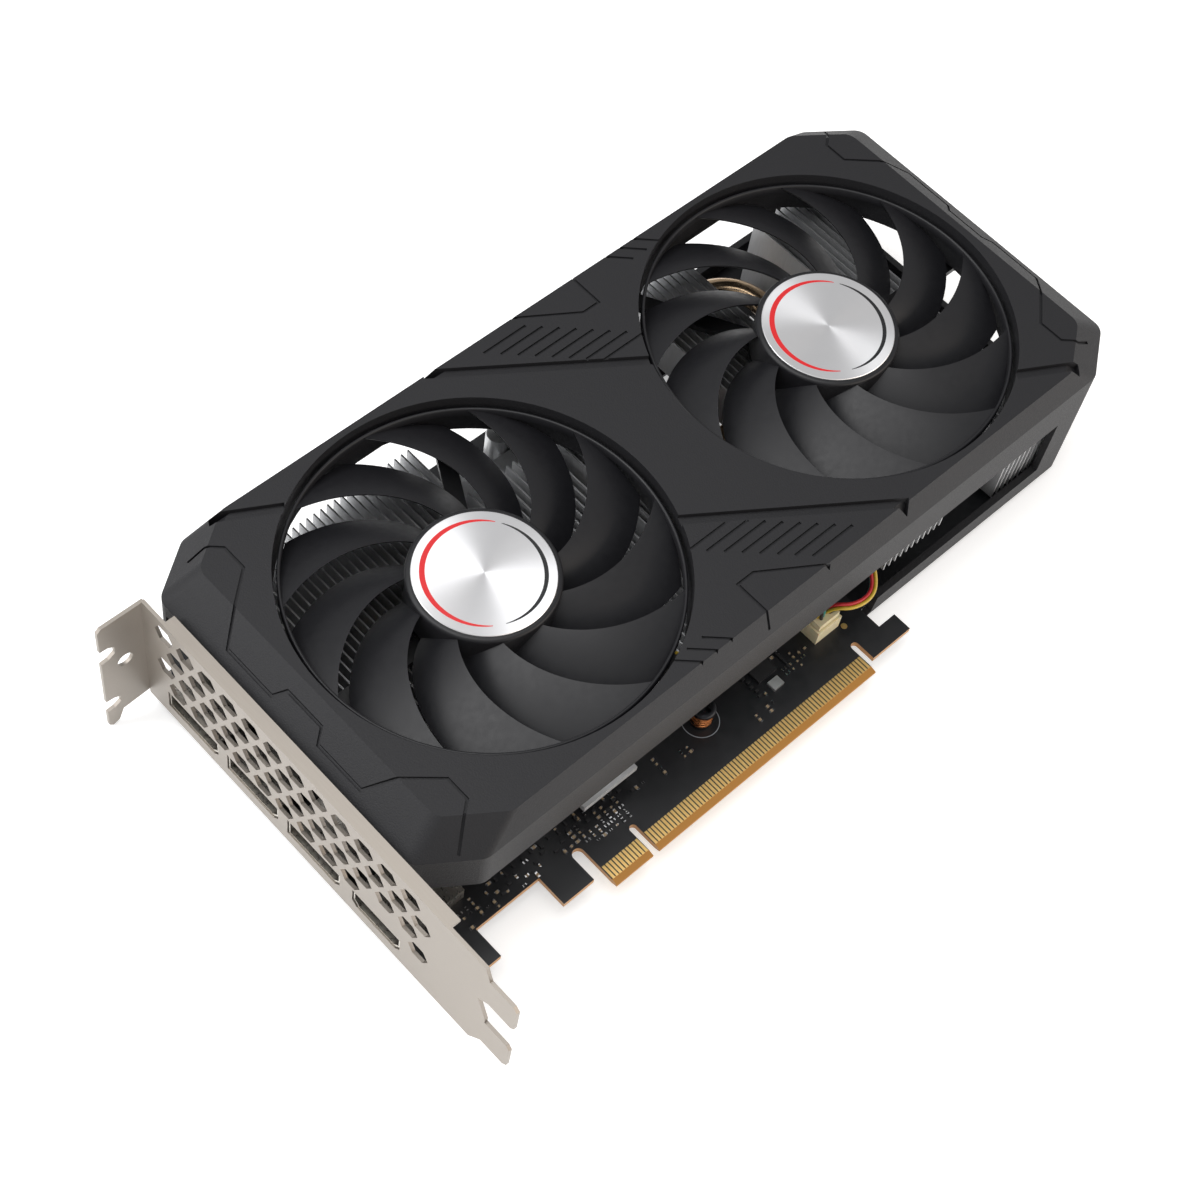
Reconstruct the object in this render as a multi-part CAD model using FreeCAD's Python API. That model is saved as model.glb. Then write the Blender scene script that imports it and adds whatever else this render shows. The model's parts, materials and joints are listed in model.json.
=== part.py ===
"""Two-slot graphics card with two axial fans.

The origin lies on the outer face of the slot bracket, at the level of the card edge that
goes into the slot, on the solder side of the circuit board. +X runs along the card away
from the bracket, +Y from the card edge to the far long side, +Z from the board to the fans.
"""
import FreeCAD, Part
import math
import os

V = FreeCAD.Vector
X, Y, Z = V(1, 0, 0), V(0, 1, 0), V(0, 0, 1)

# ---------------------------------------------------------------- driving dimensions, mm
FIT = 0.10            # gap between pieces that seat in one another

# circuit board and the x16 card edge
BOARD_T = 1.57
BOARD_X0 = 1.40
BOARD_X1 = 140.20
BOARD_Y1 = 104.00
BOARD_Y0 = 12.30      # lower edge of the board between its tabs
KEY_X = 58.54         # middle of the key notch
KEY_W = 1.90
KEY_Y = 8.50
SHORT_TAB = 12.15     # from the key's middle to the short tab's end
LONG_TAB = 72.15      # from the key's middle to the long tab's end
EDGE_BEVEL = 1.60
BEVEL_CUT = 0.50
FINGER_PITCH = 1.00
FINGER_W = 0.70
FINGER_Y1 = 5.30
FINGER_T = 0.05
SHORT_PINS = 11
LONG_PINS = 71
KEY_TO_PIN = 1.50
RELIEF_W = 3.00       # round-topped slots beside the card edge
HOOK_X1 = 145.60
HOOK_Y0 = 2.80
HOOK_Y1 = 7.90

# slot bracket
SHEET = 0.86
BRACKET_TOP = 105.19
BRACKET_L = 120.02
BRACKET_W = 38.74
BRACKET_Z1 = 36.37
BRACKET_Z0 = BRACKET_Z1 - BRACKET_W
TONGUE_W = 10.19
TONGUE_L = 8.00
TONGUE_Z = (BRACKET_Z1 - 14.30, BRACKET_Z1 - 34.60)
TAB_REACH = 11.43
TAB_HOLE_D = 4.00
LIP = 3.20
VENT_D = 5.40
VENT_PITCH_Y = 7.25
VENT_PITCH_Z = 6.70
VENT_Z0 = 11.20
VENT_Y0 = 13.50

# display sockets
PORT_PITCH = 20.60
PORT_Y0 = 26.60       # middle of the lowest socket
PORT_W = (15.00, 17.00, 17.00, 17.00)
PORT_H = 5.60
PORT_DEPTH = 18.00
PORT_WALL = 0.40
PORT_OVERHANG = 0.30  # socket mouth behind the bracket's outer face
PORT_GAP = 0.25

# shroud
SHROUD_X0 = 3.80
SHROUD_X1 = 225.40
SHROUD_Y0 = 12.90
SHROUD_Y1 = 112.10
SHROUD_Z1 = 40.90
SHOULDER = 6.50       # height of the bevel between the wall and the top face
SHOULDER_Z = SHROUD_Z1 - SHOULDER
WALL_Z = 22.60        # lower edge of the walls over the board
FOOT_Z = -2.10        # lower edge of the far end
BEVEL_END = 8.80
BEVEL_SIDE = 2.60
CORNER_X = 13.00
CORNER_Y = 9.00
CORNER_R = 4.00
SHELL = 1.80
RAIL_H = 6.00
POST = 9.00
FOOT_X0 = 143.60      # far end's rails start here, past the board
LINE_W = 0.70
LINE_DEEP = 0.50
CHANNEL_W = 2.60
CHANNEL_DEEP = 1.20

# fans
FAN_NEAR = 56.10      # fan axis from the shroud's near end
FAN_FAR = 56.30       # fan axis from its far end
FAN_X = (SHROUD_X0 + FAN_NEAR, SHROUD_X1 - FAN_FAR)
FAN_Y = (SHROUD_Y0 + SHROUD_Y1) / 2
OPENING_R = 45.50
DUCT_T = 1.40
DUCT_Z0 = 29.00
RING_R = OPENING_R - 1.00
RING_T = 0.80
RING_H = 2.20
RING_TOP = SHROUD_Z1 - 2.10
BASE_R = 17.00
BASE_Z0 = 25.60       # fan frame, under the motor
BASE_T = 1.60
HUB_R = 17.30
HUB_TOP = SHROUD_Z1 - 2.20
HUB_Z0 = BASE_Z0 + BASE_T + 1.80
HUB_T = 1.20
BLADES = 11
BLADE_T = 1.20
BLADE_SWEEP = 42.0    # degrees that a blade's high edge turns from the hub to the ring
ROOT_CHORD = 30.0     # degrees that one blade covers at the hub
MID_CHORD = 29.0
TIP_CHORD = 27.0
BLADE_CREST = SHROUD_Z1 - 1.90
BLADE_FLARE = 1.20    # slope of the cone that the blades are cut from
BLADE_APEX = 11.00    # its tip, inside the hub's edge
BLADE_AHEAD = 8.00    # its ridge, past the blade's high edge
FAN_PHASE = (12.0, 17.7)  # degrees that each impeller is turned at rest
LABEL_R = HUB_R - 1.30
LABEL_T = 0.25
YOKE_T = 0.80
MAGNET_T = 1.50
MAGNET_H = 6.50
SHAFT_R = 1.50
SHAFT_PLAY = 0.05
BEARING_R = 2.60
TUBE_R = 3.60
AIR_GAP = 0.60
STATOR_R = HUB_R - HUB_T - FIT - YOKE_T - MAGNET_T - AIR_GAP
TUBE_TOP = HUB_TOP - HUB_T - YOKE_T - 1.20
ARM_W = 4.20
ARM_TURN = (180.0, 0.0)   # direction of each fan's first arm, towards the nearer end
ARMS = 3
BOSS_R = 2.90

# cooler
FIN_TOP = BASE_Z0 - 2.80  # leaves room for the fan leads
FIN_T = 0.40
FIN_PITCH = 2.00
FIN_Y0 = 22.00        # leaves the fan leads a way along the wall
FIN_PAST_Y0 = 15.60   # past the board
FIN_Y1 = 100.00
PIPE_R = 3.00
PIPE_Y = (44.0, 56.0, 68.0, 80.0)
LOOP_R = 12.00        # bend at the far end of the last pipe
LOOP_BACK = 32.00     # length that comes back beside it
GPU_X, GPU_Y = 72.0, 62.0
SUBSTRATE = 29.0
SUBSTRATE_T = 1.10
DIE_X, DIE_Y, DIE_T = 14.0, 12.0, 0.75
MEMORY_T = 1.10
PASTE = 0.05
COLD_PLATE = (42.0, 106.0, 32.0, 97.0)
PLATE_FLOOR = 0.60    # metal left under a pipe's groove

# levels that follow from the stack on the board
PLATE_Z0 = BOARD_T + SUBSTRATE_T + DIE_T + PASTE
PIPE_Z = PLATE_Z0 + PLATE_FLOOR + FIT + PIPE_R
PLATE_Z1 = PIPE_Z + PIPE_R + FIT

# supply socket
POWER_X0 = 112.00
WAY = 3.40
WAY_PITCH = 4.20

# backplate
BACK_T = 1.00
BACK_Z0 = -2.00
BACK_STANDOFF = 3.20

# fan leads: four insulated wires to each fan
PLUG_Z0 = 1.10        # above the board
PLUG_H = 5.40
LEAD_R = 1.15         # of the bundle, over its corners
LEAD_LEVEL = BASE_Z0 - LEAD_R - FIT


# ---------------------------------------------------------------- helpers
def box(x0, x1, y0, y1, z0, z1):
    return Part.makeBox(x1 - x0, y1 - y0, z1 - z0, V(x0, y0, z0))


def rod(r, z0, z1, x=0.0, y=0.0):
    return Part.makeCylinder(r, z1 - z0, V(x, y, z0))


def ring(r_out, r_in, z0, z1, x=0.0, y=0.0):
    return rod(r_out, z0, z1, x, y).cut(rod(r_in, z0 - 1, z1 + 1, x, y))


def prism(points, direction):
    """Straight prism on a closed outline of corner points."""
    wire = Part.makePolygon([V(*p) for p in points] + [V(*points[0])])
    return Part.Face(wire).extrude(direction)


def rounded_outline(points, radii, z):
    """Closed outline at height z through the plan corners, each with its own round."""
    corners = [V(p[0], p[1], z) for p in points]
    count = len(corners)
    edges, arcs = [], []
    for i, corner in enumerate(corners):
        before = (corners[i - 1] - corner).normalize()
        after = (corners[(i + 1) % count] - corner).normalize()
        half = before.getAngle(after) / 2
        reach = radii[i] / math.tan(half)
        middle = corner + (before + after).normalize() * (radii[i] / math.sin(half) - radii[i])
        arcs.append((corner + before * reach, middle, corner + after * reach))
    for i, (start, middle, end) in enumerate(arcs):
        edges.append(Part.Arc(start, middle, end).toShape())
        edges.append(Part.LineSegment(end, arcs[(i + 1) % count][0]).toShape())
    return Part.Wire(edges)


def fused(shapes):
    first = shapes[0]
    return first.multiFuse(shapes[1:]).removeSplitter() if len(shapes) > 1 else first


def turned(shape, degrees, x=0.0, y=0.0):
    copy = shape.copy()
    copy.rotate(V(x, y, 0), Z, degrees)
    return copy


def moved(shape, x=0.0, y=0.0, z=0.0):
    copy = shape.copy()
    copy.translate(V(x, y, z))
    return copy


def half_turned(points):
    """The same plan points turned half round the middle of the shroud."""
    return [(SHROUD_X0 + SHROUD_X1 - x, SHROUD_Y0 + SHROUD_Y1 - y) for x, y in points]


def save(name, shape):
    shape.exportStep("parts/%s.step" % name)
    print("%-20s %3d solids  %10.1f mm3" % (name, len(shape.Solids), shape.Volume))


# ---------------------------------------------------------------- circuit board
def relief(x0, width, top):
    """Round-topped slot that opens at the card edge."""
    radius = width / 2
    slot = box(x0, x0 + width, -1, top - radius, -1, BOARD_T + 1)
    return slot.fuse(rod(radius, -1, BOARD_T + 1, x0 + radius, top - radius))


def screw_holes():
    """Plan places of the four screws round the processor."""
    reach = 26.0
    return [(GPU_X + i * reach, GPU_Y + j * reach) for i in (-1, 1) for j in (-1, 1)]


def standoff_places():
    """Plan places of the screws that tie the shroud, board and backplate."""
    return [(89.30, 17.40), (BOARD_X0 + 22.0, BOARD_Y1 - 5.0), (BOARD_X1 - 4.0, 24.0),
            (BOARD_X1 - 6.0, BOARD_Y1 - 22.0)]


def foot_places():
    """Plan places of the two screws that tie the bracket's feet to the board."""
    return [(BOARD_X0 + 5.0, 10.5), (BOARD_X0 + 5.0, BOARD_Y1 - 3.6)]


def circuit_board():
    near, far = KEY_X - SHORT_TAB, KEY_X + LONG_TAB
    outline = [(BOARD_X0, 7.5), (BOARD_X0 + 4.0, 4.2), (16.0, 4.2), (16.0, BOARD_Y0),
               (34.4, BOARD_Y0), (34.4, 4.2), (near - RELIEF_W - 0.5, 4.2),
               (near - RELIEF_W - 0.5, 0), (HOOK_X1, 0), (HOOK_X1, HOOK_Y1),
               (BOARD_X1, HOOK_Y1), (BOARD_X1, BOARD_Y1), (BOARD_X0, BOARD_Y1)]
    board = prism([(x, y, 0) for x, y in outline], Z * BOARD_T)
    board = board.cut(relief(near - RELIEF_W, RELIEF_W, BOARD_Y0))
    board = board.cut(box(near - RELIEF_W - 1, near - RELIEF_W, -1, 4.2, -1, BOARD_T + 1))
    board = board.cut(relief(KEY_X - KEY_W / 2, KEY_W, KEY_Y))
    board = board.cut(relief(far, 2.1, KEY_Y + 0.4))
    board = board.cut(box(far + 2.1, HOOK_X1 + 1, -1, HOOK_Y0, -1, BOARD_T + 1))
    for face in (0, 1):
        level = BOARD_T * face
        step = BEVEL_CUT * (1 - 2 * face)
        wedge = [(near - 1, 0, level), (near - 1, EDGE_BEVEL, level), (near - 1, 0, level + step)]
        board = board.cut(prism(wedge, X * (far - near + 2)))
    for x, y in screw_holes() + standoff_places() + foot_places():
        board = board.cut(rod(1.6, -1, BOARD_T + 1, x, y))
    return board


def edge_contacts():
    """Plated contacts on both faces of the card edge, past the bevel."""
    starts = [KEY_X - KEY_TO_PIN - i * FINGER_PITCH for i in range(SHORT_PINS)]
    starts += [KEY_X + KEY_TO_PIN + i * FINGER_PITCH for i in range(LONG_PINS)]
    contacts = []
    for x in starts:
        for z0 in (BOARD_T, -FINGER_T):
            contacts.append(box(x - FINGER_W / 2, x + FINGER_W / 2, EDGE_BEVEL, FINGER_Y1,
                                z0, z0 + FINGER_T))
    return Part.makeCompound(contacts)


# ---------------------------------------------------------------- slot bracket
def face_outline():
    """Flat of the bracket in the Y-Z plane, with its two tongues."""
    bottom = BRACKET_TOP - BRACKET_L
    neck = bottom + TONGUE_L
    upper, lower = TONGUE_Z
    top = BRACKET_TOP - SHEET
    return [(top, BRACKET_Z1), (neck + 1.6, BRACKET_Z1), (neck, upper + TONGUE_W),
            (bottom + 1.2, upper + TONGUE_W), (bottom, upper + TONGUE_W - 1.2),
            (bottom, upper + 1.0), (bottom + 1.0, upper), (neck - 0.4, upper),
            (neck + 2.4, upper - 2.0), (neck - 0.4, lower + TONGUE_W + 1.4),
            (neck - 0.4, lower + TONGUE_W), (bottom + 1.0, lower + TONGUE_W),
            (bottom, lower + TONGUE_W - 1.2), (bottom, lower + 1.2), (bottom + 1.2, lower),
            (neck, lower), (neck + 3.4, BRACKET_Z0), (top, BRACKET_Z0)]


def tab_outline():
    """Flat of the screw tab in the X-Z plane, with both screw notches."""
    reach = -TAB_REACH
    return [(SHEET, BRACKET_Z1 - 0.8), (reach + 1.0, BRACKET_Z1 - 0.8),
            (reach, BRACKET_Z1 - 1.8),
            (reach, 27.0), (-9.4, 26.8), (-7.7, 25.6), (-7.7, 23.2), (-9.4, 22.0),
            (reach, 21.8), (reach, 5.6), (-9.4, 5.4), (-7.7, 4.4), (-7.7, 2.2), (-9.4, 1.2),
            (reach, 1.0), (reach, -4.6), (-10.4, -5.8), (-8.6, -5.0), (-7.3, -1.6),
            (SHEET, BRACKET_Z0 + 1.6)]


def port_places():
    return [PORT_Y0 + PORT_PITCH * i for i in range(len(PORT_W))]


def port_section(index, grow):
    """Mouth of a display socket in the Y-Z plane: the first has two cut corners, the rest one."""
    y_mid = port_places()[index]
    half = PORT_W[index] / 2 + grow
    z0 = BOARD_T - grow
    z1 = BOARD_T + PORT_H + grow
    cut = 1.6
    outline = [(y_mid - half, z0 + cut), (y_mid - half + cut, z0)]
    outline += [(y_mid + half - cut, z0), (y_mid + half, z0 + cut)] if index == 0 else [
        (y_mid + half, z0)]
    return outline + [(y_mid + half, z1), (y_mid - half, z1)]


def vent_places():
    """Staggered rows of vents, thinned out beside the lowest socket."""
    places = []
    for row in range(4):
        z = VENT_Z0 + VENT_PITCH_Z * row
        first = VENT_Y0 + (0 if row % 2 == 0 else VENT_PITCH_Y / 2)
        for i in range(13):
            y = first + VENT_PITCH_Y * i
            hidden = row == 0 and 0 < i < 3
            if y < BRACKET_TOP - 5.0 and not hidden:
                places.append((y, z))
    return places


def vent(y, z):
    """Six-sided vent hole with a flat at its top and bottom."""
    radius = VENT_D / 2 / math.cos(math.radians(30))
    corners = []
    for k in range(6):
        angle = math.radians(60 * k)
        corners.append((-1, y + radius * math.cos(angle), z + radius * math.sin(angle)))
    return prism(corners, X * (SHEET + 2))


def io_bracket():
    face = prism([(0, y, z) for y, z in face_outline()], X * SHEET)
    tab = prism([(x, BRACKET_TOP, z) for x, z in tab_outline()], Y * -SHEET)
    tab = tab.cut(Part.makeCylinder(TAB_HOLE_D / 2, 3, V(-5.4, BRACKET_TOP - 2, 17.8), Y))
    lip = box(0, LIP, 5.9, 97.0, BRACKET_Z1 - SHEET, BRACKET_Z1)
    foot_x = BOARD_X0 + 9.0
    feet = []
    for x, y in foot_places():
        foot = box(0, foot_x, y - 3.0, y + 3.0, BOARD_T, BOARD_T + SHEET)
        feet.append(foot.cut(rod(1.6, 0, 5, x, y)))
    bracket = fused([face, tab, lip] + feet)
    cuts = [vent(y, z) for y, z in vent_places()]
    for index in range(len(PORT_W)):
        corners = [(-1, y, z) for y, z in port_section(index, PORT_GAP)]
        cuts.append(prism(corners, X * (SHEET + 2)))
    return bracket.cut(Part.makeCompound(cuts))


# ---------------------------------------------------------------- display sockets
def port_shell(index):
    """Drawn metal shell, open at its mouth and closed behind."""
    start = PORT_OVERHANG
    outer = prism([(start, y, z) for y, z in port_section(index, 0)], X * PORT_DEPTH)
    room = [(start - 1, y, z) for y, z in port_section(index, -PORT_WALL)]
    return outer.cut(prism(room, X * (PORT_DEPTH - 2.0)))


def port_tongue(index):
    """Moulded tongue that carries the contacts inside a socket."""
    y_mid, half = port_places()[index], PORT_W[index] / 2 - 2.4
    middle = BOARD_T + PORT_H / 2 + 0.4
    back = PORT_OVERHANG + PORT_DEPTH - 3.0
    return box(PORT_OVERHANG + 1.2, back, y_mid - half, y_mid + half, middle - 0.6, middle + 0.6)


# ---------------------------------------------------------------- shroud
def plan_corners(end_in, side_in, thin=0.0):
    """Eight plan corners of the shroud, moved in by a bevel and by a wall."""
    x0, x1 = SHROUD_X0 + end_in + thin, SHROUD_X1 - end_in - thin
    y0, y1 = SHROUD_Y0 + side_in + thin, SHROUD_Y1 - side_in - thin
    cx, cy = CORNER_X - thin * 0.6, CORNER_Y - thin * 0.4
    return [(x0 + cx, y0), (x1 - cx, y0), (x1, y0 + cy), (x1, y1 - cy),
            (x1 - cx, y1), (x0 + cx, y1), (x0, y1 - cy), (x0, y0 + cy)]


def shroud_body(thin):
    """Solid of the shroud's outside, or of its inside when moved in by a wall."""
    radius = max(CORNER_R - thin, 0.5)
    rounds = [radius] * 8
    low = FOOT_Z - (1.0 if thin else 0.0)
    wall = rounded_outline(plan_corners(0, 0, thin), rounds, low)
    upright = Part.Face(wall).extrude(Z * (SHOULDER_Z - low))
    lower = rounded_outline(plan_corners(0, 0, thin), rounds, SHOULDER_Z)
    upper = rounded_outline(plan_corners(BEVEL_END, BEVEL_SIDE, thin), rounds, SHROUD_Z1 - thin)
    bevel = Part.makeLoft([lower, upper], True, True)
    return upright.fuse(bevel).removeSplitter()


def strip(points, width):
    """Upright band of one width along plan points, mitred where it turns."""
    line = [V(x, y, SHOULDER_Z - 10) for x, y in points]
    count = len(line)
    left, right = [], []
    for i, point in enumerate(line):
        back = (point - line[max(i - 1, 0)]) if i else (line[1] - point)
        on = (line[min(i + 1, count - 1)] - point) if i < count - 1 else back
        back, on = V(back).normalize(), V(on).normalize()
        across = V(-back.y - on.y, back.x + on.x, 0).normalize()
        half = width / 2 / max(across.dot(V(-back.y, back.x, 0)), 0.5)
        left.append(point + across * half)
        right.append(point - across * half)
    return prism([tuple(p) for p in left + right[::-1]], Z * SHROUD_Z1)


def panel_line():
    """Stepped line along the bracket end, between its two arrow corners."""
    return [(13.0, 105.0), (17.0, 104.4), (20.2, 101.5), (20.2, 95.0), (12.0, 88.0),
            (6.6, 83.5), (6.6, 69.0), (9.2, 67.0), (9.2, 56.0), (6.6, 54.0), (6.6, 40.5),
            (12.0, 36.5), (20.2, 29.5), (20.2, 23.5), (16.5, 20.5), (12.5, 17.0)]


def pentagon_line():
    return [(99.6, 13.5), (99.6, 24.5), (104.5, 24.5), (119.5, 15.0)]


def short_lines():
    return [[(x, 20.0), (x + 5.0, 15.4)] for x in (75.0, 79.5, 84.0)]


def slat_lines():
    """Eight slats between the channel and the pentagon, each one lower and further on."""
    lines = []
    for i in range(8):
        y = 37.6 - 2.65 * i
        start = 97.5 + 2.9 * i
        lines.append([(start, y), (start + 13.0, y)])
    return lines


def channel_lines():
    return [[(101.0, 45.0), (145.5, 15.0)], [(192.5, 23.6), (207.0, 15.5)]]


def ear_places(side):
    """Plan places of one fan's screw ears."""
    turns = [ARM_TURN[side] + 360.0 / ARMS * i for i in range(ARMS)]
    return [(FAN_X[side] + arm_reach() * math.cos(math.radians(t)),
             FAN_Y + arm_reach() * math.sin(math.radians(t))) for t in turns]


def screw_bosses():
    """Posts under the top face that the fan frames are screwed to."""
    level = BASE_Z0 + BASE_T
    places = ear_places(0) + ear_places(1)
    return [rod(BOSS_R, level, SHROUD_Z1 - SHELL / 2, x, y) for x, y in places]


def shroud():
    outside = shroud_body(0.0)
    skin = outside.cut(shroud_body(LINE_DEEP))
    deep_skin = outside.cut(shroud_body(CHANNEL_DEEP))
    shell = outside.cut(shroud_body(SHELL))
    for x in FAN_X:
        shell = shell.cut(rod(OPENING_R, DUCT_Z0 - 2, SHROUD_Z1 + 1, x, FAN_Y))
        duct = ring(OPENING_R + DUCT_T, OPENING_R, DUCT_Z0, SHROUD_Z1 - SHELL / 2, x, FAN_Y)
        shell = shell.fuse(duct.common(outside))
    shell = shell.fuse(Part.makeCompound(screw_bosses()).common(outside))
    lines = [panel_line(), pentagon_line()] + short_lines() + slat_lines()
    fine = [strip(line, LINE_W) for line in lines]
    fine += [strip(half_turned(line), LINE_W) for line in lines]
    deep = [strip(line, CHANNEL_W) for line in channel_lines()]
    deep += [strip(half_turned(line), CHANNEL_W) for line in channel_lines()]
    shell = shell.cut(Part.makeCompound(fine).common(skin))
    shell = shell.cut(Part.makeCompound(deep).common(deep_skin))
    return shell.cut(Part.makeCompound(shroud_windows()))


def shroud_windows():
    """What is open in the walls: over the board, at the far end's sides and at both ends."""
    y0, y1 = SHROUD_Y0 - 1, SHROUD_Y1 + 1
    rail_top = FOOT_Z + RAIL_H
    slant = [(SHROUD_X0 - 1, y0, FOOT_Z - 1), (FOOT_X0 - 4.0, y0, FOOT_Z - 1),
             (FOOT_X0, y0, FOOT_Z + 1.0), (FOOT_X0 + 3.0, y0, WALL_Z),
             (SHROUD_X0 - 1, y0, WALL_Z)]
    over_board = prism(slant, Y * (y1 - y0))
    sides = box(FOOT_X0, SHROUD_X1 - CORNER_X - POST, y0, y1, rail_top, WALL_Z)
    far_y0, far_y1 = SHROUD_Y0 + CORNER_Y + 2.0, SHROUD_Y1 - CORNER_Y - 2.0
    far = box(SHROUD_X1 - 12.0, SHROUD_X1 + 1, far_y0, far_y1, rail_top, WALL_Z)
    near = box(SHROUD_X0 - 1, SHROUD_X0 + 6, far_y0, far_y1, WALL_Z - 1, SHOULDER_Z - 4.0)
    return [over_board, sides, far, near]


# ---------------------------------------------------------------- fans
def polar(radius, degrees):
    angle = math.radians(degrees)
    return V(radius * math.cos(angle), radius * math.sin(angle), 0)


def blade_plan():
    """Sickle outline of one blade in plan, from inside the hub's wall to inside the ring."""
    root, tip = HUB_R - HUB_T / 2, RING_R - RING_T / 2
    middle = (root + tip) / 2
    half_sweep = BLADE_SWEEP / 2
    high = [polar(root, 0), polar(middle, half_sweep), polar(tip, BLADE_SWEEP)]
    low = [polar(tip, BLADE_SWEEP - TIP_CHORD), polar(middle, half_sweep - MID_CHORD),
           polar(root, -ROOT_CHORD)]
    edges = [Part.Arc(*high).toShape(),
             Part.Arc(high[2], polar(tip, BLADE_SWEEP - TIP_CHORD / 2), low[0]).toShape(),
             Part.Arc(*low).toShape(),
             Part.Arc(low[2], polar(root, -ROOT_CHORD / 2), high[0]).toShape()]
    return Part.Face(Part.Wire(edges))


def blade():
    """One blade: the sickle outline cut out of a conical sheet that falls from its high edge.

    The cone's ridge runs level, beside the blade's high edge, and its tip lies inside the
    hub, so the blade is steep at the hub and flatter towards the ring.
    """
    start, end = polar(HUB_R, 0.0), polar(RING_R, BLADE_SWEEP)
    along = (end - start).normalize()
    beside = V(-along.y, along.x, 0)
    apex = start + beside * BLADE_AHEAD - along * BLADE_APEX + Z * BLADE_CREST
    slope = math.atan(BLADE_FLARE)
    axis = along * math.cos(slope) - Z * math.sin(slope)
    height = 3 * RING_R
    cone = Part.makeCone(0, height * BLADE_FLARE, height, apex, axis)
    sheet = cone.cut(moved(cone, 0, 0, -BLADE_T))
    plan = moved(blade_plan(), 0, 0, HUB_Z0).extrude(Z * (HUB_TOP - HUB_Z0))
    return plan.common(sheet)


def impeller():
    """Hub cup, blades and the thin ring that joins the blade tips."""
    cup = rod(HUB_R, HUB_Z0, HUB_TOP).cut(rod(HUB_R - HUB_T, HUB_Z0 - 1, HUB_TOP - HUB_T))
    tip_ring = ring(RING_R, RING_R - RING_T, RING_TOP - RING_H, RING_TOP)
    one = blade()
    blades = [turned(one, 360.0 / BLADES * i) for i in range(BLADES)]
    return fused([cup, tip_ring] + blades)


def rotor_yoke():
    outer = HUB_R - HUB_T - FIT
    top = HUB_TOP - HUB_T
    return rod(outer, HUB_Z0, top).cut(rod(outer - YOKE_T, HUB_Z0 - 1, top - YOKE_T))


def magnet_ring():
    outer = HUB_R - HUB_T - FIT - YOKE_T
    return ring(outer, outer - MAGNET_T, HUB_Z0, HUB_Z0 + MAGNET_H)


def rotor_shaft():
    return rod(SHAFT_R, BASE_Z0 + BASE_T + 1.0, HUB_TOP - HUB_T - YOKE_T)


def hub_label():
    return rod(LABEL_R, HUB_TOP, HUB_TOP + LABEL_T)


def arm_reach():
    return OPENING_R + DUCT_T + 3.0


def fan_frame(side):
    """Base disc with the bearing tube and three arms that reach the shroud's screw bosses."""
    top = BASE_Z0 + BASE_T
    disc = rod(BASE_R, BASE_Z0, top)
    tube = rod(TUBE_R, top, TUBE_TOP)
    arms = []
    for i in range(ARMS):
        arm = box(BASE_R - 2, arm_reach(), -ARM_W / 2, ARM_W / 2, BASE_Z0, top)
        ear = rod(BOSS_R, BASE_Z0, top, arm_reach(), 0)
        arms.append(turned(arm.fuse(ear), ARM_TURN[side] + 360.0 / ARMS * i))
    bore = rod(BEARING_R, top - 0.6, HUB_TOP)
    return fused([disc, tube] + arms).cut(bore)


def bearing_sleeve():
    z0 = BASE_Z0 + BASE_T
    return ring(BEARING_R, SHAFT_R + SHAFT_PLAY, z0, TUBE_TOP)


def stator():
    """Four-pole lamination stack on the bearing tube."""
    z0 = HUB_Z0 + 0.6
    core = ring(6.4, TUBE_R, z0, z0 + 5.0)
    poles = []
    for i in range(4):
        neck = box(5.8, STATOR_R - 1.4, -1.3, 1.3, z0, z0 + 5.0)
        shoe = ring(STATOR_R, STATOR_R - 1.6, z0, z0 + 5.0)
        shoe = shoe.common(box(0, STATOR_R + 1, -7.4, 7.4, z0, z0 + 5.0))
        poles.append(turned(neck.fuse(shoe), 90.0 * i + 45))
    return fused([core] + poles)


def windings():
    z0 = HUB_Z0 + 0.2
    coils = []
    for i in range(4):
        coil = box(6.6, STATOR_R - 2.0, -2.6, 2.6, z0, z0 + 5.8)
        coil = coil.cut(box(6, STATOR_R, -1.35, 1.35, z0 + 0.35, z0 + 5.45))
        coils.append(turned(coil, 90.0 * i + 45))
    return Part.makeCompound(coils)


def driver_board():
    top = BASE_Z0 + BASE_T
    return ring(11.0, TUBE_R + FIT, top, top + 0.8)


# ---------------------------------------------------------------- cooler
def fin(x, y0, y1, z0, notches):
    """Thin plate across the card, with its lower edge let out where heat pipes pass."""
    outline = [(x, y0, FIN_TOP), (x, y0, z0)]
    for y, height in sorted(notches):
        half = PIPE_R + FIT
        outline += [(x, y - half, z0), (x, y - half, height), (x, y + half, height),
                    (x, y + half, z0)]
    outline += [(x, y1, z0), (x, y1, FIN_TOP)]
    return prism(outline, X * FIN_T)


def fin_block(x0, x1, y0, y1, z0, notches):
    count = int((x1 - x0) / FIN_PITCH)
    plates = [fin(x0 + FIN_PITCH * i, y0, y1, z0, notches) for i in range(count)]
    return Part.makeCompound(plates)


def fin_stay():
    """Aluminium ledge that carries on from the cold plate towards the card edge."""
    return box(50.0, 66.0, 15.6, COLD_PLATE[2], PLATE_Z1 - 1.8, PLATE_Z1 - 0.2)


def tube_along(wire, radius):
    start = wire.Edges[0].Vertexes[0].Point
    heading = wire.Edges[0].tangentAt(wire.Edges[0].FirstParameter)
    section = Part.Wire(Part.makeCircle(radius, start, heading))
    return wire.makePipeShell([section], True, False)


def heat_pipe_ends():
    """First and last X of the four pipes, in order of Y."""
    return [(40.0, 116.0), (36.0, 204.0), (44.0, 204.0), (36.0, 172.0)]


def straight_pipe(y, x0, x1):
    return Part.makeCylinder(PIPE_R, x1 - x0, V(x0, y, PIPE_Z), X)


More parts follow.
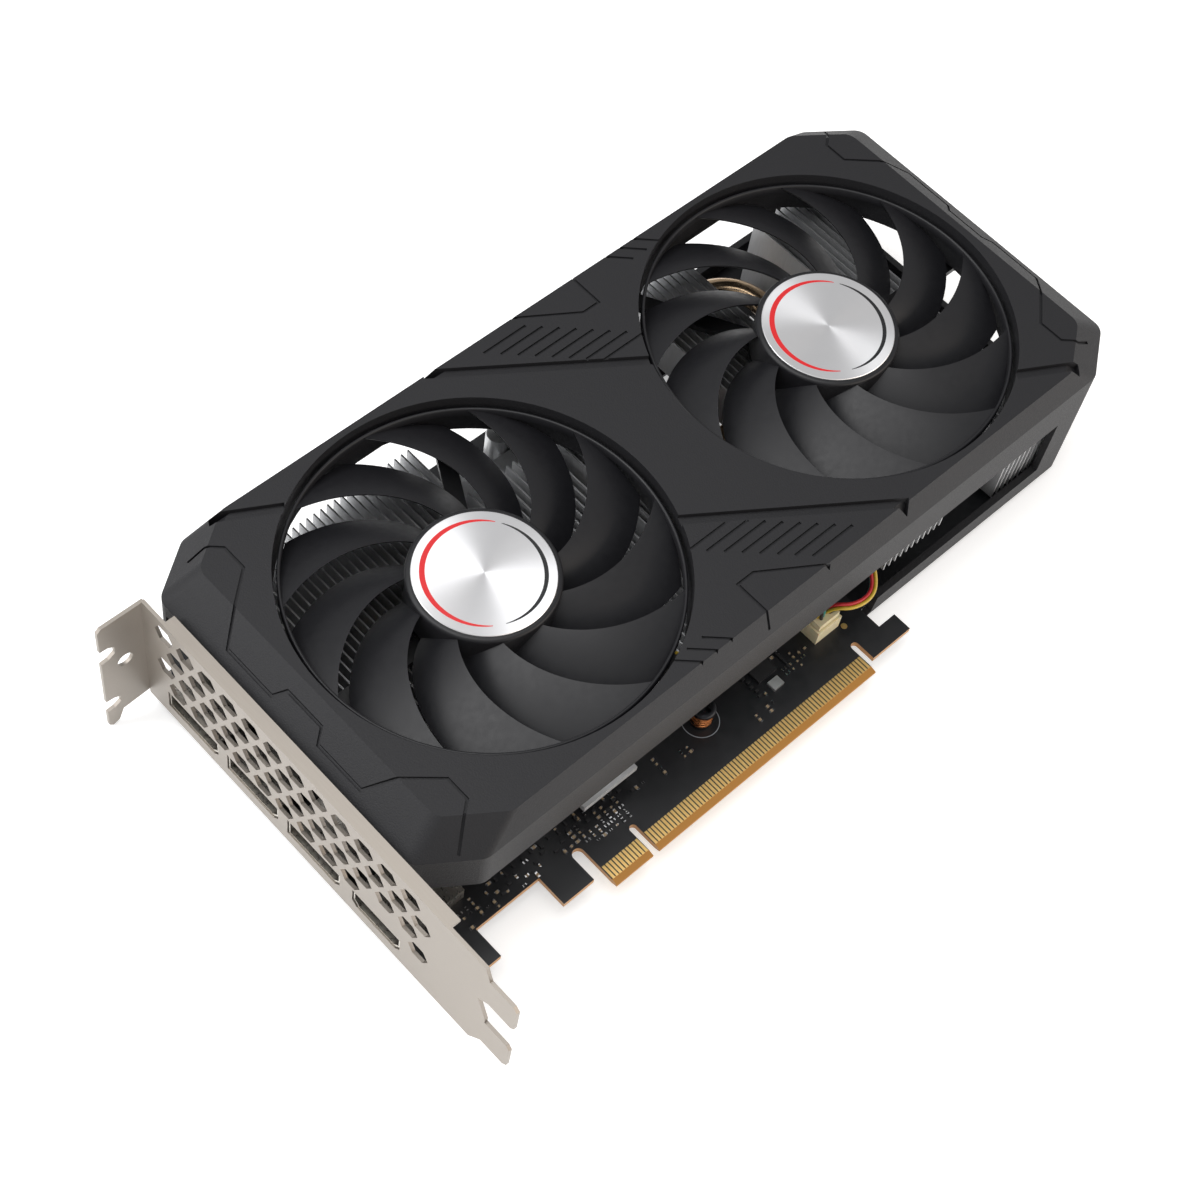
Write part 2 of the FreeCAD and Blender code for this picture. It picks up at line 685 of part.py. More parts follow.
def looped_pipe(y, x0, x1):
    """Pipe that turns half round at its far end and comes back over the board's far edge."""
    start, turn = V(x0, y, PIPE_Z), V(x1, y, PIPE_Z)
    back = V(x1, y + 2 * LOOP_R, PIPE_Z)
    end = V(x1 - LOOP_BACK, y + 2 * LOOP_R, PIPE_Z)
    outermost = V(x1 + LOOP_R, y + LOOP_R, PIPE_Z)
    path = Part.Wire([Part.LineSegment(start, turn).toShape(),
                      Part.Arc(turn, outermost, back).toShape(),
                      Part.LineSegment(back, end).toShape()])
    return tube_along(path, PIPE_R)


def cold_plate():
    """Plate over the processor, with one round-bottomed groove for each heat pipe."""
    x0, x1, y0, y1 = COLD_PLATE
    plate = box(x0, x1, y0, y1, PLATE_Z0, PLATE_Z1)
    for y in PIPE_Y:
        radius = PIPE_R + FIT
        plate = plate.cut(Part.makeCylinder(radius, x1 - x0 + 2, V(x0 - 1, y, PIPE_Z), X))
        plate = plate.cut(box(x0 - 1, x1 + 1, y - radius, y + radius, PIPE_Z, PLATE_Z1 + 1))
    for x, y in screw_holes():
        plate = plate.cut(rod(1.4, PLATE_Z0 - 1, PLATE_Z1 + 1, x, y))
    return plate


# ---------------------------------------------------------------- what stands on the board
def on_board(x, y, width, depth, height, z0=BOARD_T):
    return box(x - width / 2, x + width / 2, y - depth / 2, y + depth / 2, z0, z0 + height)


def gpu_substrate():
    return on_board(GPU_X, GPU_Y, SUBSTRATE, SUBSTRATE, SUBSTRATE_T)


def gpu_die():
    return on_board(GPU_X, GPU_Y, DIE_X, DIE_Y, DIE_T, BOARD_T + SUBSTRATE_T)


def memory_places():
    return [(GPU_X - 8.5, GPU_Y + 27), (GPU_X + 8.5, GPU_Y + 27), (GPU_X + 26.5, GPU_Y + 8.5),
            (GPU_X + 26.5, GPU_Y - 8.5)]


def memory_chips():
    return Part.makeCompound([on_board(x, y, 12.0, 14.0, MEMORY_T) for x, y in memory_places()])


def thermal_pads():
    """Soft pads that fill the gap between the memory and the cold plate."""
    z0 = BOARD_T + MEMORY_T
    return Part.makeCompound([on_board(x, y, 11.0, 13.0, PLATE_Z0 - z0, z0)
                              for x, y in memory_places()])


def inductor_places():
    """A column on each side of the processor, clear of the heat pipes."""
    left = [(30.0, 54.0 + 8.5 * i) for i in range(5)]
    right = [(122.0, 28.0 + 8.5 * i) for i in range(3)]
    return left + right


def power_inductors():
    parts = []
    for x, y in inductor_places():
        body = on_board(x, y, 7.4, 7.0, 5.6)
        rim = [e for e in body.Edges if min(v.Z for v in e.Vertexes) > BOARD_T + 5.0]
        parts.append(body.makeChamfer(0.5, rim))
    return Part.makeCompound(parts)


def power_transistors():
    return Part.makeCompound([on_board(x - 8.5, y, 5.0, 6.0, 0.9) for x, y in inductor_places()])


def capacitor_places():
    along_top = [(88.0 + 7.2 * i, 100.4) for i in range(3)]
    return along_top + [(131.5, 28.0 + 8.2 * i) for i in range(3)]


def capacitors():
    return Part.makeCompound([rod(3.1, BOARD_T, BOARD_T + 7.0, x, y)
                              for x, y in capacitor_places()])


def chip_components():
    """Rows of small chip resistors and capacitors beside the card edge."""
    parts = []
    for i in range(16):
        x = 26.0 + 2.6 * i
        parts.append(on_board(x, 14.6 + 0.9 * (i % 3), 1.0, 0.6, 0.5))
        parts.append(on_board(x + 0.8, 18.2 - 0.6 * (i % 2), 0.6, 1.0, 0.5))
    for i in range(6):
        parts.append(on_board(104.5 + 0.4 * (i % 2), 13.0 + 1.4 * i, 1.0, 0.6, 0.5))
        parts.append(on_board(115.5, 14.4 + 1.3 * i, 0.6, 1.0, 0.5))
    return Part.makeCompound(parts)


def control_chips():
    return Part.makeCompound([on_board(109.5, 17.6, 6.0, 4.6, 0.9),
                              on_board(27.5, 25.0, 5.0, 6.0, 1.0),
                              on_board(44.0, 24.0, 7.0, 7.0, 0.9)])


def clock_crystal():
    return on_board(109.6, 12.9, 3.2, 2.5, 0.8)


def fan_header():
    """Four-pin header, open at its top."""
    body = on_board(128.6, 17.0, 8.0, 5.4, 4.6)
    return body.cut(on_board(128.6, 17.0, 7.0, 4.4, 5.0, BOARD_T + 1.0))


def fan_plug():
    return on_board(128.6, 17.0, 6.8, 4.2, PLUG_H, BOARD_T + PLUG_Z0)


def socket_ways():
    """Lower corner of each way of the supply socket, four across and two high."""
    x0, z0 = POWER_X0 + 1.2, BOARD_T + 0.9
    return [(x0 + WAY_PITCH * i, z0 + (WAY_PITCH - 0.2) * j) for i in range(4) for j in range(2)]


def power_socket():
    """Eight-way supply socket that faces the far long side."""
    y1 = BOARD_Y1 + 3.0
    top = BOARD_T + 8.6
    body = box(POWER_X0, POWER_X0 + 18.6, y1 - 13.0, y1, BOARD_T, top)
    for x, z in socket_ways():
        body = body.cut(box(x, x + WAY, y1 - 9.0, y1 + 1, z, z + WAY))
    latch = box(POWER_X0 + 6.8, POWER_X0 + 11.8, y1 - 6.0, y1, top, top + 1.4)
    return body.fuse(latch)


def power_pins():
    y1 = BOARD_Y1 + 3.0
    inset = (WAY - 1.0) / 2
    return Part.makeCompound([box(x + inset, x + inset + 1.0, y1 - 9.0, y1 - 1.5,
                                  z + inset, z + inset + 1.0) for x, z in socket_ways()])


# ---------------------------------------------------------------- fan leads
def lead_points(side):
    """Route of the four wires of one fan, from the plug up and along under one of its arms."""
    out = math.radians(ARM_TURN[side] + 360.0 / ARMS * (2 if side else 1))
    along = (math.cos(out), math.sin(out))
    plug_top = BOARD_T + PLUG_Z0 + PLUG_H

    def on_arm(radius):
        return (FAN_X[side] + along[0] * radius, FAN_Y + along[1] * radius, LEAD_LEVEL)

    if side:
        return [(129.9, 17.0, plug_top), (129.9, 17.0, 13.5), (136.0, 16.0, 15.0),
                (142.0, 17.0, 17.5), (144.6, 22.5, 21.5), (145.6, 30.0, LEAD_LEVEL),
                on_arm(31.0), on_arm(19.0)]
    return [(127.3, 17.0, plug_top), (127.3, 17.0, 14.5), (120.0, 18.0, 18.5),
            (104.0, 18.0, 18.5), (91.0, 20.5, 24.0), (84.0, 27.0, LEAD_LEVEL),
            on_arm(34.0), on_arm(19.0)]


def lead_wire(points):
    """Straight runs joined by arcs, each arc as large as the shorter of its two runs allows."""
    corners = [V(*p) for p in points]
    edges, radii = [], []
    start = corners[0]
    for i in range(1, len(corners) - 1):
        back, on = corners[i - 1] - corners[i], corners[i + 1] - corners[i]
        reach = 0.45 * min(back.Length, on.Length)
        back.normalize()
        on.normalize()
        half = back.getAngle(on) / 2
        radius = reach * math.tan(half)
        radii.append(radius)
        entry, leave = corners[i] + back * reach, corners[i] + on * reach
        middle = corners[i] + (back + on).normalize() * (radius / math.sin(half) - radius)
        edges.append(Part.LineSegment(start, entry).toShape())
        edges.append(Part.Arc(entry, middle, leave).toShape())
        start = leave
    edges.append(Part.LineSegment(start, corners[-1]).toShape())
    return Part.Wire(edges), radii


def fan_leads(side):
    """The four wires of one fan as one six-sided bundle."""
    path, radii = lead_wire(lead_points(side))
    start, heading = path.Edges[0].Vertexes[0].Point, path.Edges[0].tangentAt(0)
    turn = FreeCAD.Rotation(Z, heading)
    corners = [start + turn.multVec(V(LEAD_R * math.cos(math.radians(60 * k)),
                                      LEAD_R * math.sin(math.radians(60 * k)), 0))
               for k in range(6)]
    section = Part.makePolygon(corners + [corners[0]])
    tube = path.makePipeShell([section], True, False)
    area = Part.Face(section).Area
    print("  lead %.1f mm long, radii %s, volume over section x length %.3f"
          % (path.Length, " ".join("%.1f" % r for r in radii), tube.Volume / area / path.Length))
    return tube


# ---------------------------------------------------------------- backplate and screws
def backplate():
    """Thin cover under the board, with slots for the air that leaves past the board."""
    x0, x1 = BOARD_X0 + 6.0, SHROUD_X1 - SHELL - FIT
    y0, y1 = SHROUD_Y0 + SHELL + FIT, SHROUD_Y1 - SHELL - FIT
    cx, cy = CORNER_X, CORNER_Y
    outline = [(x0, y0), (x1 - cx, y0), (x1, y0 + cy), (x1, y1 - cy), (x1 - cx, y1), (x0, y1)]
    plate = prism([(x, y, BACK_Z0) for x, y in outline], Z * BACK_T)
    slots = []
    for i in range(9):
        x = BOARD_X1 + 12.0 + 7.4 * i
        slots.append(box(x, x + 3.6, 30.0, 95.0, BACK_Z0 - 1, BACK_Z0 + BACK_T + 1))
    for x, y in screw_holes():
        slots.append(rod(1.6, BACK_Z0 - 1, BACK_Z0 + BACK_T + 1, x, y))
    return plate.cut(Part.makeCompound(slots))


def hexagon_post(radius, z0, z1, x, y):
    """Six-sided post; the radius is over its corners."""
    corners = [(x + radius * math.cos(math.radians(60 * k)),
                y + radius * math.sin(math.radians(60 * k)), z0) for k in range(6)]
    return prism(corners, Z * (z1 - z0))


def standoffs():
    """Six-sided posts that hold the backplate off the board."""
    return Part.makeCompound([hexagon_post(BACK_STANDOFF, BACK_Z0 + BACK_T, 0, x, y)
                              for x, y in standoff_places()])


def screw(x, y, z_head, length, head_r=2.6, head_h=1.4, shank_r=1.3):
    """Plain screw, head up and shank down, with the thread left out."""
    head = rod(head_r, z_head, z_head + head_h, x, y)
    return head.fuse(hexagon_post(shank_r, z_head - length, z_head, x, y))


def cooler_screws():
    """Screws from behind, through the backplate and the board into the cold plate."""
    shank = PLATE_Z0 + 3.0 - BACK_Z0
    parts = [screw(x, y, 0, shank) for x, y in screw_holes()]
    return Part.makeCompound([moved(part.mirror(V(0, 0, 0), Z), 0, 0, BACK_Z0)
                              for part in parts])


def board_screws():
    return Part.makeCompound([screw(x, y, BOARD_T, BOARD_T) for x, y in standoff_places()])


def bracket_screws():
    """Six-sided screws that tie the bracket's feet to the board."""
    parts = []
    for x, y in foot_places():
        head = hexagon_post(2.8, BOARD_T + SHEET, BOARD_T + SHEET + 1.2, x, y)
        parts.append(head.fuse(hexagon_post(1.3, 0.2, BOARD_T + SHEET, x, y)))
    return Part.makeCompound(parts)


def at_fans(shape):
    """One copy of a piece at each fan."""
    return Part.makeCompound([moved(shape, x, FAN_Y) for x in FAN_X])


def save_fan(side, name):
    """The pieces of one fan, each at its place."""
    x = FAN_X[side]
    pieces = {"impeller": turned(impeller(), FAN_PHASE[side]), "rotor_yoke": rotor_yoke(),
              "magnet_ring": magnet_ring(), "rotor_shaft": rotor_shaft(),
              "hub_label": hub_label(), "fan_frame": fan_frame(side)}
    for piece, shape in pieces.items():
        save("%s_%s" % (piece, name), moved(shape, x, FAN_Y))
    save("fan_leads_" + name, fan_leads(side))


def save_board():
    save("circuit_board", circuit_board())
    save("edge_contacts", edge_contacts())
    save("gpu_substrate", gpu_substrate())
    save("gpu_die", gpu_die())
    save("memory_chips", memory_chips())
    save("thermal_pads", thermal_pads())
    save("power_inductors", power_inductors())
    save("power_transistors", power_transistors())
    save("capacitors", capacitors())
    save("chip_components", chip_components())
    save("control_chips", control_chips())
    save("clock_crystal", clock_crystal())
    save("fan_header", fan_header())
    save("fan_plug", fan_plug())
    save("power_socket", power_socket())
    save("power_pins", power_pins())


def save_bracket():
    save("io_bracket", io_bracket())
    names = ["hdmi_socket", "display_socket_1", "display_socket_2", "display_socket_3"]
    for index, name in enumerate(names):
        save(name, port_shell(index))
    save("socket_tongues", Part.makeCompound([port_tongue(i) for i in range(len(names))]))


def save_cooler():
    low_row = [(y, PLATE_Z1) for y in PIPE_Y]
    save("fins_near", fin_block(22.0, 78.0, FIN_Y0, FIN_Y1, PLATE_Z1, []))
    save("fins_middle", fin_block(79.0, 104.0, FIN_Y0, 88.0, PLATE_Z1, []))
    save("fins_far", fin_block(105.0, 132.0, FIN_Y0, FIN_Y1 - 8.0, PLATE_Z1, []))
    save("fins_past", fin_block(147.0, 169.0, FIN_PAST_Y0, FIN_Y1 + 8.0, PLATE_Z1, []))
    save("fins_end", fin_block(190.0, 208.0, FIN_PAST_Y0, FIN_Y1 + 4.0, 1.0, low_row[1:3]))
    save("fin_stay", fin_stay())
    first, second, third, last = heat_pipe_ends()
    save("heat_pipe_1", straight_pipe(PIPE_Y[0], *first))
    save("heat_pipe_2", straight_pipe(PIPE_Y[1], *second))
    save("heat_pipe_3", straight_pipe(PIPE_Y[2], *third))
    save("heat_pipe_4", looped_pipe(PIPE_Y[3], *last))
    save("cold_plate", cold_plate())


def main():
    os.makedirs("parts", exist_ok=True)
    save_board()
    save_bracket()
    save_cooler()
    save("shroud", shroud())
    for side, name in enumerate(("left", "right")):
        save_fan(side, name)
    save("bearings", at_fans(bearing_sleeve()))
    save("stators", at_fans(stator()))
    save("windings", at_fans(windings()))
    save("driver_boards", at_fans(driver_board()))
    save("backplate", backplate())
    save("standoffs", standoffs())
    save("cooler_screws", cooler_screws())
    save("board_screws", board_screws())
    save("bracket_screws", bracket_screws())


main()
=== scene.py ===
"""Looks of a two-fan graphics card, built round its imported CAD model.

Metres, in the CAD frame: +X along the card from the slot bracket, +Y from the card edge to
the far long side, +Z from the circuit board up to the fans.
"""

import json
import math

import bmesh
import bpy
import mathutils
import numpy as np
from mathutils.bvhtree import BVHTree
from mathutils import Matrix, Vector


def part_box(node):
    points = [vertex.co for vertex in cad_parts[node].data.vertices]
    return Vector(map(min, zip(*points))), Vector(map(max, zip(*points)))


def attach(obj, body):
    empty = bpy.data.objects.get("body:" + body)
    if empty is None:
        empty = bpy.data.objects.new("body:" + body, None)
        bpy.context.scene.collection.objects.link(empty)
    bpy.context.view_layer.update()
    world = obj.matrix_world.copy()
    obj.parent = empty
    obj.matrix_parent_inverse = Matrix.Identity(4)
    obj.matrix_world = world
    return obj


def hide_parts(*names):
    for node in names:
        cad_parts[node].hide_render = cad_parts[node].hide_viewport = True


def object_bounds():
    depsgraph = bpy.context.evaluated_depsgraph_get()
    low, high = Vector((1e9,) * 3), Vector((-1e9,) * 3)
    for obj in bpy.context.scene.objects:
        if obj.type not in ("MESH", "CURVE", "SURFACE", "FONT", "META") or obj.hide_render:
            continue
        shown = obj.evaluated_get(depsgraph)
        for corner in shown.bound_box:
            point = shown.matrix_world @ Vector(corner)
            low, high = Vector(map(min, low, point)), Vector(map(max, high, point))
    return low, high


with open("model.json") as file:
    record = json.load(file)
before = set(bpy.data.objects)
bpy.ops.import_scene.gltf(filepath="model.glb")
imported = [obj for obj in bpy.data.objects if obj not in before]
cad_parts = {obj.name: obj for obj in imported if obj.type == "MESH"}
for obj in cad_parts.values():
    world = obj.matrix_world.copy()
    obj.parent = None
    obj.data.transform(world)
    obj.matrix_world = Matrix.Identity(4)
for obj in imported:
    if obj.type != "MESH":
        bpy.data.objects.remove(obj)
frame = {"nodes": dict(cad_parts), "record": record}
CAD_BOX = [list(map(float, corner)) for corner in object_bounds()]

MM = 0.001
SIDES = ("left", "right")
TURN = 2 * math.pi

# Sizes in mm.
BEVEL_TOP = 1.8                # height of the bare strip along the card edge
TRACE_PITCH = 0.9              # between the copper traces, measured along X or Y
BLADES = 11
BLADE_T = 1.2
PHASE = {"left": 12.0, "right": 17.7}    # degrees, where the first blade leaves the hub at rest
SWEEP = 42.0                   # degrees that a blade's high edge turns from hub to ring
RING_T = 0.8
RING_H = 2.2
HUB_R = 17.3
HUB_WALL = 1.2
HUB_ROUND = 0.9                # radius of the hub's rounded rim
LINE_R = 13.5                  # printed line on the hub label
INK_T = 0.03
WIRE_R = 0.46
WIRE_SPREAD = 0.66             # from the bundle's line to the middle of each wire
SPRING_SCREW = (89.3, 17.4)    # beside the card edge
SPRING_R = 2.3
SPRING_H = 5.2
PRINT_RING = (4.40, 4.60)      # inner and outer radius of the ring round the spring screw
CAN_R = 3.1
TALL_CAN = 5.5                 # how much the capacitors along the far long side stand higher
FAR_ROW_Y = 90.0               # capacitors past this stand along the far long side
EAR_R = 49.9                   # from a fan's axis to its fixing screws
FIN_T = 0.4
FIN_PITCH = 2.0
FIN_REACH = 5.6                # from the CAD fins' ends to the real ones
CHIP_PITCH = (1.9, 1.35)
GOLD_MARK = (133.7, 13.4)


# ------------------------------------------------------------------ materials

def linear(colour):
    """sRGB hex colour to linear RGBA."""
    parts = [int(colour[i:i + 2], 16) / 255 for i in (1, 3, 5)]
    return [p / 12.92 if p <= 0.04045 else ((p + 0.055) / 1.055) ** 2.4 for p in parts] + [1.0]


def add(tree, kind, settings=None, **links):
    """Adds a node, sets its values and inputs, and links its inputs by name."""
    node = tree.nodes.new(kind)
    for key, value in (settings or {}).items():
        if hasattr(node, key):
            setattr(node, key, value)
        else:
            node.inputs[key].default_value = value
    for key, socket in links.items():
        tree.links.new(socket, node.inputs[key.replace("_", " ")])
    return node


def finish(name, low, high, rough, metallic=0.0, grain=0.4, relief=0.0, spread=0.05,
           stretch=(1, 1, 1), **shader_values):
    """A surface whose colour and gloss drift between two values over a grain in mm.

    The relief, in mm, is the height of the same grain; the stretch draws it out along an axis.
    """
    material = bpy.data.materials.new(name)
    material.use_nodes = True
    tree = material.node_tree
    shader = tree.nodes["Principled BSDF"]
    shader.inputs["Metallic"].default_value = metallic
    for key, value in shader_values.items():
        shader.inputs[key.replace("_", " ")].default_value = value
    place = add(tree, "ShaderNodeTexCoord")
    mapping = add(tree, "ShaderNodeMapping", {"Scale": stretch}, Vector=place.outputs["Object"])
    noise = add(tree, "ShaderNodeTexNoise", {"Scale": 1 / (grain * MM), "Detail": 3.0},
                Vector=mapping.outputs[0])
    colours = add(tree, "ShaderNodeMix", {"data_type": "RGBA"})
    colours.inputs[6].default_value = linear(low)
    colours.inputs[7].default_value = linear(high)
    tree.links.new(noise.outputs["Fac"], colours.inputs[0])
    tree.links.new(colours.outputs[2], shader.inputs["Base Color"])
    gloss = add(tree, "ShaderNodeMapRange", {"From Min": 0.3, "From Max": 0.7,
                "To Min": rough - spread, "To Max": rough + spread}, Value=noise.outputs["Fac"])
    tree.links.new(gloss.outputs[0], shader.inputs["Roughness"])
    if relief:
        bump = add(tree, "ShaderNodeBump", {"Distance": relief * MM, "Strength": 1.0},
                   Height=noise.outputs["Fac"])
        tree.links.new(bump.outputs[0], shader.inputs["Normal"])
    return material


def shroud_plastic():
    """Moulded ABS with a spark-eroded texture: dark and matt, with an even fine grain.

    The grain is drawn at 0.36 mm, coarser than the real 0.05 mm, so that it shows.
    """
    return finish("moulded ABS, spark-eroded grain", "#1c1c1e", "#232326", 0.56,
                  grain=0.36, relief=0.07, spread=0.06, Specular_IOR_Level=0.32)


def fan_plastic():
    """Moulded glass-filled PBT: satin black, its curves read by their soft highlights."""
    return finish("moulded PBT, satin", "#17171a", "#1b1b1e", 0.44, grain=1.6, spread=0.04,
                  Specular_IOR_Level=0.38)


def bracket_steel():
    """Cold-rolled steel, nickel plated and satin: warm grey with a faint drawn grain."""
    return finish("nickel-plated steel, satin", "#958e86", "#a29b93", 0.42, metallic=0.8,
                  grain=0.5, spread=0.04, stretch=(1, 0.08, 1))


def socket_steel():
    """Drawn steel shells, tin plated: lighter and glossier than the bracket."""
    return finish("tin-plated drawn steel", "#b9b4ab", "#cfcac2", 0.30, metallic=1.0, grain=0.8)


def board_mask():
    """Matt black solder mask over copper: near black with a slight satin.

    Traces under the mask run aslant in patches, about 0.9 mm apart, and show as low ridges.
    """
    material = finish("matt black solder mask on glass fibre", "#101114", "#16171b", 0.42,
                      grain=2.5, spread=0.05, Coat_Weight=0.15, Coat_Roughness=0.3)
    tree = material.node_tree
    place = add(tree, "ShaderNodeTexCoord")
    split = add(tree, "ShaderNodeSeparateXYZ", Vector=place.outputs["Object"])
    laid = add(tree, "ShaderNodeMath", {"operation": "ADD"})
    tree.links.new(split.outputs["X"], laid.inputs[0])
    tree.links.new(split.outputs["Y"], laid.inputs[1])
    stripes = add(tree, "ShaderNodeMath", {"operation": "PINGPONG"})
    stripes.inputs[1].default_value = TRACE_PITCH / 2 * MM
    tree.links.new(laid.outputs[0], stripes.inputs[0])
    bump = add(tree, "ShaderNodeBump", {"Distance": 0.05 * MM, "Strength": 0.6},
               Height=stripes.outputs[0])
    patch = add(tree, "ShaderNodeTexNoise", {"Scale": 1 / (9 * MM), "Detail": 0.0},
                Vector=place.outputs["Object"])
    choose = add(tree, "ShaderNodeMapRange", {"From Min": 0.50, "From Max": 0.54,
                 "To Min": 0.0, "To Max": 40.0}, Value=patch.outputs["Fac"])
    height = add(tree, "ShaderNodeMath", {"operation": "MULTIPLY"})
    tree.links.new(stripes.outputs[0], height.inputs[0])
    tree.links.new(choose.outputs[0], height.inputs[1])
    tree.links.new(height.outputs[0], bump.inputs["Height"])
    tree.links.new(bump.outputs[0], tree.nodes["Principled BSDF"].inputs["Normal"])
    bare_edges(tree, split)
    return material


def bare_edges(tree, split):
    """Lets the brown laminate show on the card edge's bevel and on the board's cut sides."""
    shader = tree.nodes["Principled BSDF"]
    masked = shader.inputs["Base Color"].links[0].from_socket
    bevel = add(tree, "ShaderNodeMath", {"operation": "LESS_THAN"})
    bevel.inputs[1].default_value = BEVEL_TOP * MM
    tree.links.new(split.outputs["Y"], bevel.inputs[0])
    facing = add(tree, "ShaderNodeNewGeometry")
    level = add(tree, "ShaderNodeSeparateXYZ", Vector=facing.outputs["True Normal"])
    upright = add(tree, "ShaderNodeMath", {"operation": "COMPARE"})
    upright.inputs[1].default_value = 0.0
    upright.inputs[2].default_value = 0.3
    tree.links.new(level.outputs["Z"], upright.inputs[0])
    bare = add(tree, "ShaderNodeMath", {"operation": "MAXIMUM"})
    tree.links.new(bevel.outputs[0], bare.inputs[0])
    tree.links.new(upright.outputs[0], bare.inputs[1])
    blend = add(tree, "ShaderNodeMix", {"data_type": "RGBA"})
    tree.links.new(bare.outputs[0], blend.inputs[0])
    tree.links.new(masked, blend.inputs[6])
    blend.inputs[7].default_value = linear("#a8742c")
    tree.links.new(blend.outputs[2], shader.inputs["Base Color"])


MATERIALS = {
    "charcoal_abs": shroud_plastic(),
    "fan_plastic": fan_plastic(),
    "satin_steel": bracket_steel(),
    "socket_steel": socket_steel(),
    "solder_mask": board_mask(),
    # Hard gold plate over nickel: warm yellow, fairly bright.
    "gold_plate": finish("hard gold plate", "#e6bd6c", "#f0cf8c", 0.34, metallic=0.8, grain=0.8),
    # Polished silicon: a dark mirror.
    "silicon": finish("polished silicon", "#3a3a42", "#44444d", 0.12, metallic=0.6, grain=3.0),
    # Moulded epoxy: dull near-black blocks.
    "mould_compound": finish("moulded epoxy", "#191a1c", "#232427", 0.55, grain=0.3),
    # Pressed iron powder: matt mid grey.
    "ferrite": finish("pressed iron powder", "#4b4c4f", "#5c5d60", 0.62, grain=0.25, relief=0.04),
    # Drawn aluminium cans: bright satin.
    "capacitor_can": finish("drawn aluminium can", "#d2d3d4", "#dddedf", 0.32, metallic=0.75,
                            grain=3.0),
    # Soft silicone pad: chalky blue grey.
    "silicone_pad": finish("soft silicone pad", "#7d8894", "#929ca6", 0.80, grain=0.4,
                           relief=0.03),
    # Moulded nylon, natural colour: creamy and slightly waxy.
    "cream_nylon": finish("moulded nylon, natural", "#d8cba4", "#e8ddbd", 0.45, grain=0.8,
                          Subsurface_Weight=0.1, Subsurface_Scale=0.001),
    # Moulded nylon, black: satin.
    "black_nylon": finish("moulded nylon, black", "#131315", "#1c1c1e", 0.42, grain=0.8),
    # Tin plate: bright pins.
    "tin_plate": finish("bright tin plate", "#cfccc4", "#e2dfd7", 0.22, metallic=1.0, grain=0.5),
    # Stamped aluminium sheet, mill finish: bright edges, soft sheen.
    "aluminium_sheet": finish("stamped aluminium sheet, mill finish", "#b9babc", "#cfd0d2", 0.42,
                              metallic=0.55, grain=0.5, stretch=(1, 1, 0.1)),
    # Nickel-plated copper tube: champagne grey with copper showing through.
    "nickel_copper": finish("nickel-plated copper tube", "#b59a7c", "#c9b193", 0.22,
                            metallic=1.0, grain=1.2),
    # Stamped electrical steel: dull dark metal.
    "yoke_steel": finish("stamped electrical steel", "#6f7175", "#83858a", 0.42, metallic=0.9,
                         grain=0.6),
    # Bonded ferrite magnet: charcoal, matt.
    "magnet": finish("bonded ferrite magnet", "#2b2b2d", "#37373a", 0.60, grain=0.4),
    # Ground steel shaft: mirror-like.
    "shaft_steel": finish("ground steel", "#c4c6c9", "#d8dadd", 0.15, metallic=1.0, grain=0.5),
    # Sintered bronze: brown, porous.
    "bronze": finish("sintered bronze", "#8a6236", "#a17644", 0.40, metallic=0.9, grain=0.2),
    # Enamelled copper wire: glossy orange brown.
    "copper_wire": finish("enamelled copper wire", "#a3531f", "#bd6a30", 0.28, metallic=0.8,
                          grain=0.3, stretch=(1, 1, 4)),
    # Small driver board: dark green mask.
    "driver_mask": finish("green solder mask", "#16301f", "#1e3d29", 0.40, grain=1.0),
    # PVC insulation, black.
    "lead_pvc": finish("PVC insulation, black", "#17171a", "#222226", 0.40, grain=0.8),
    # Black anodised plate behind the board: fine satin.
    "black_plate": finish("anodised aluminium, black", "#17181b", "#1f2023", 0.38, metallic=0.3,
                          grain=0.4, relief=0.02),
    # Turned brass posts.
    "brass_post": finish("turned brass", "#b08a4a", "#c9a260", 0.30, metallic=1.0, grain=0.4),
    # Zinc-plated screws, blackened: dark gloss.
    "black_screw": finish("blackened steel", "#26272a", "#343539", 0.32, metallic=0.8, grain=0.4),
}


def label_film():
    """Spun aluminium film: bright silver, whose highlights spread like spokes from the centre."""
    material = finish("spun aluminium film", "#ececee", "#f2f2f4", 0.34, metallic=0.9, grain=4.0, spread=0.0,
                      Anisotropic=0.8)
    tree = material.node_tree
    along = add(tree, "ShaderNodeTangent", {"direction_type": "UV_MAP", "uv_map": "spun"})
    tree.links.new(along.outputs[0], tree.nodes["Principled BSDF"].inputs["Tangent"])
    return material


LABEL = label_film()
MATERIALS["label_film"] = LABEL
# Screen-printed inks on the label: flat colour, slightly glossy.
RED_INK = finish("printed ink, red", "#c4161c", "#d0252a", 0.35, grain=0.5)
BLACK_INK = finish("printed ink, black", "#111114", "#19191c", 0.35, grain=0.5)
# Extruded PVC insulation: smooth, evenly coloured, with a soft line of light along the wire.
LEAD_COLOURS = {
    "red": finish("PVC insulation, red", "#b5222a", "#cc3038", 0.35, grain=0.8),
    "teal": finish("PVC insulation, teal", "#157a76", "#1f918c", 0.35, grain=0.8),
    "black": finish("PVC insulation, black lead", "#151517", "#202023", 0.35, grain=0.8),
    "yellow": finish("PVC insulation, yellow", "#b99a2a", "#cfb03a", 0.35, grain=0.8),
}
# Phosphor-bronze spring, copper coloured, glossy.
SPRING = finish("copper-plated spring wire", "#a8683f", "#c07f52", 0.28, metallic=1.0, grain=0.3)
# Sintered ceramic: pale brown capacitor bodies.
CERAMIC = finish("sintered ceramic", "#8b7a62", "#a08e74", 0.50, grain=0.3)
# Resistor bodies: small glossy black blocks.
CHIP_BLACK = finish("screen-printed resistor", "#141416", "#1d1d20", 0.35, grain=0.3)
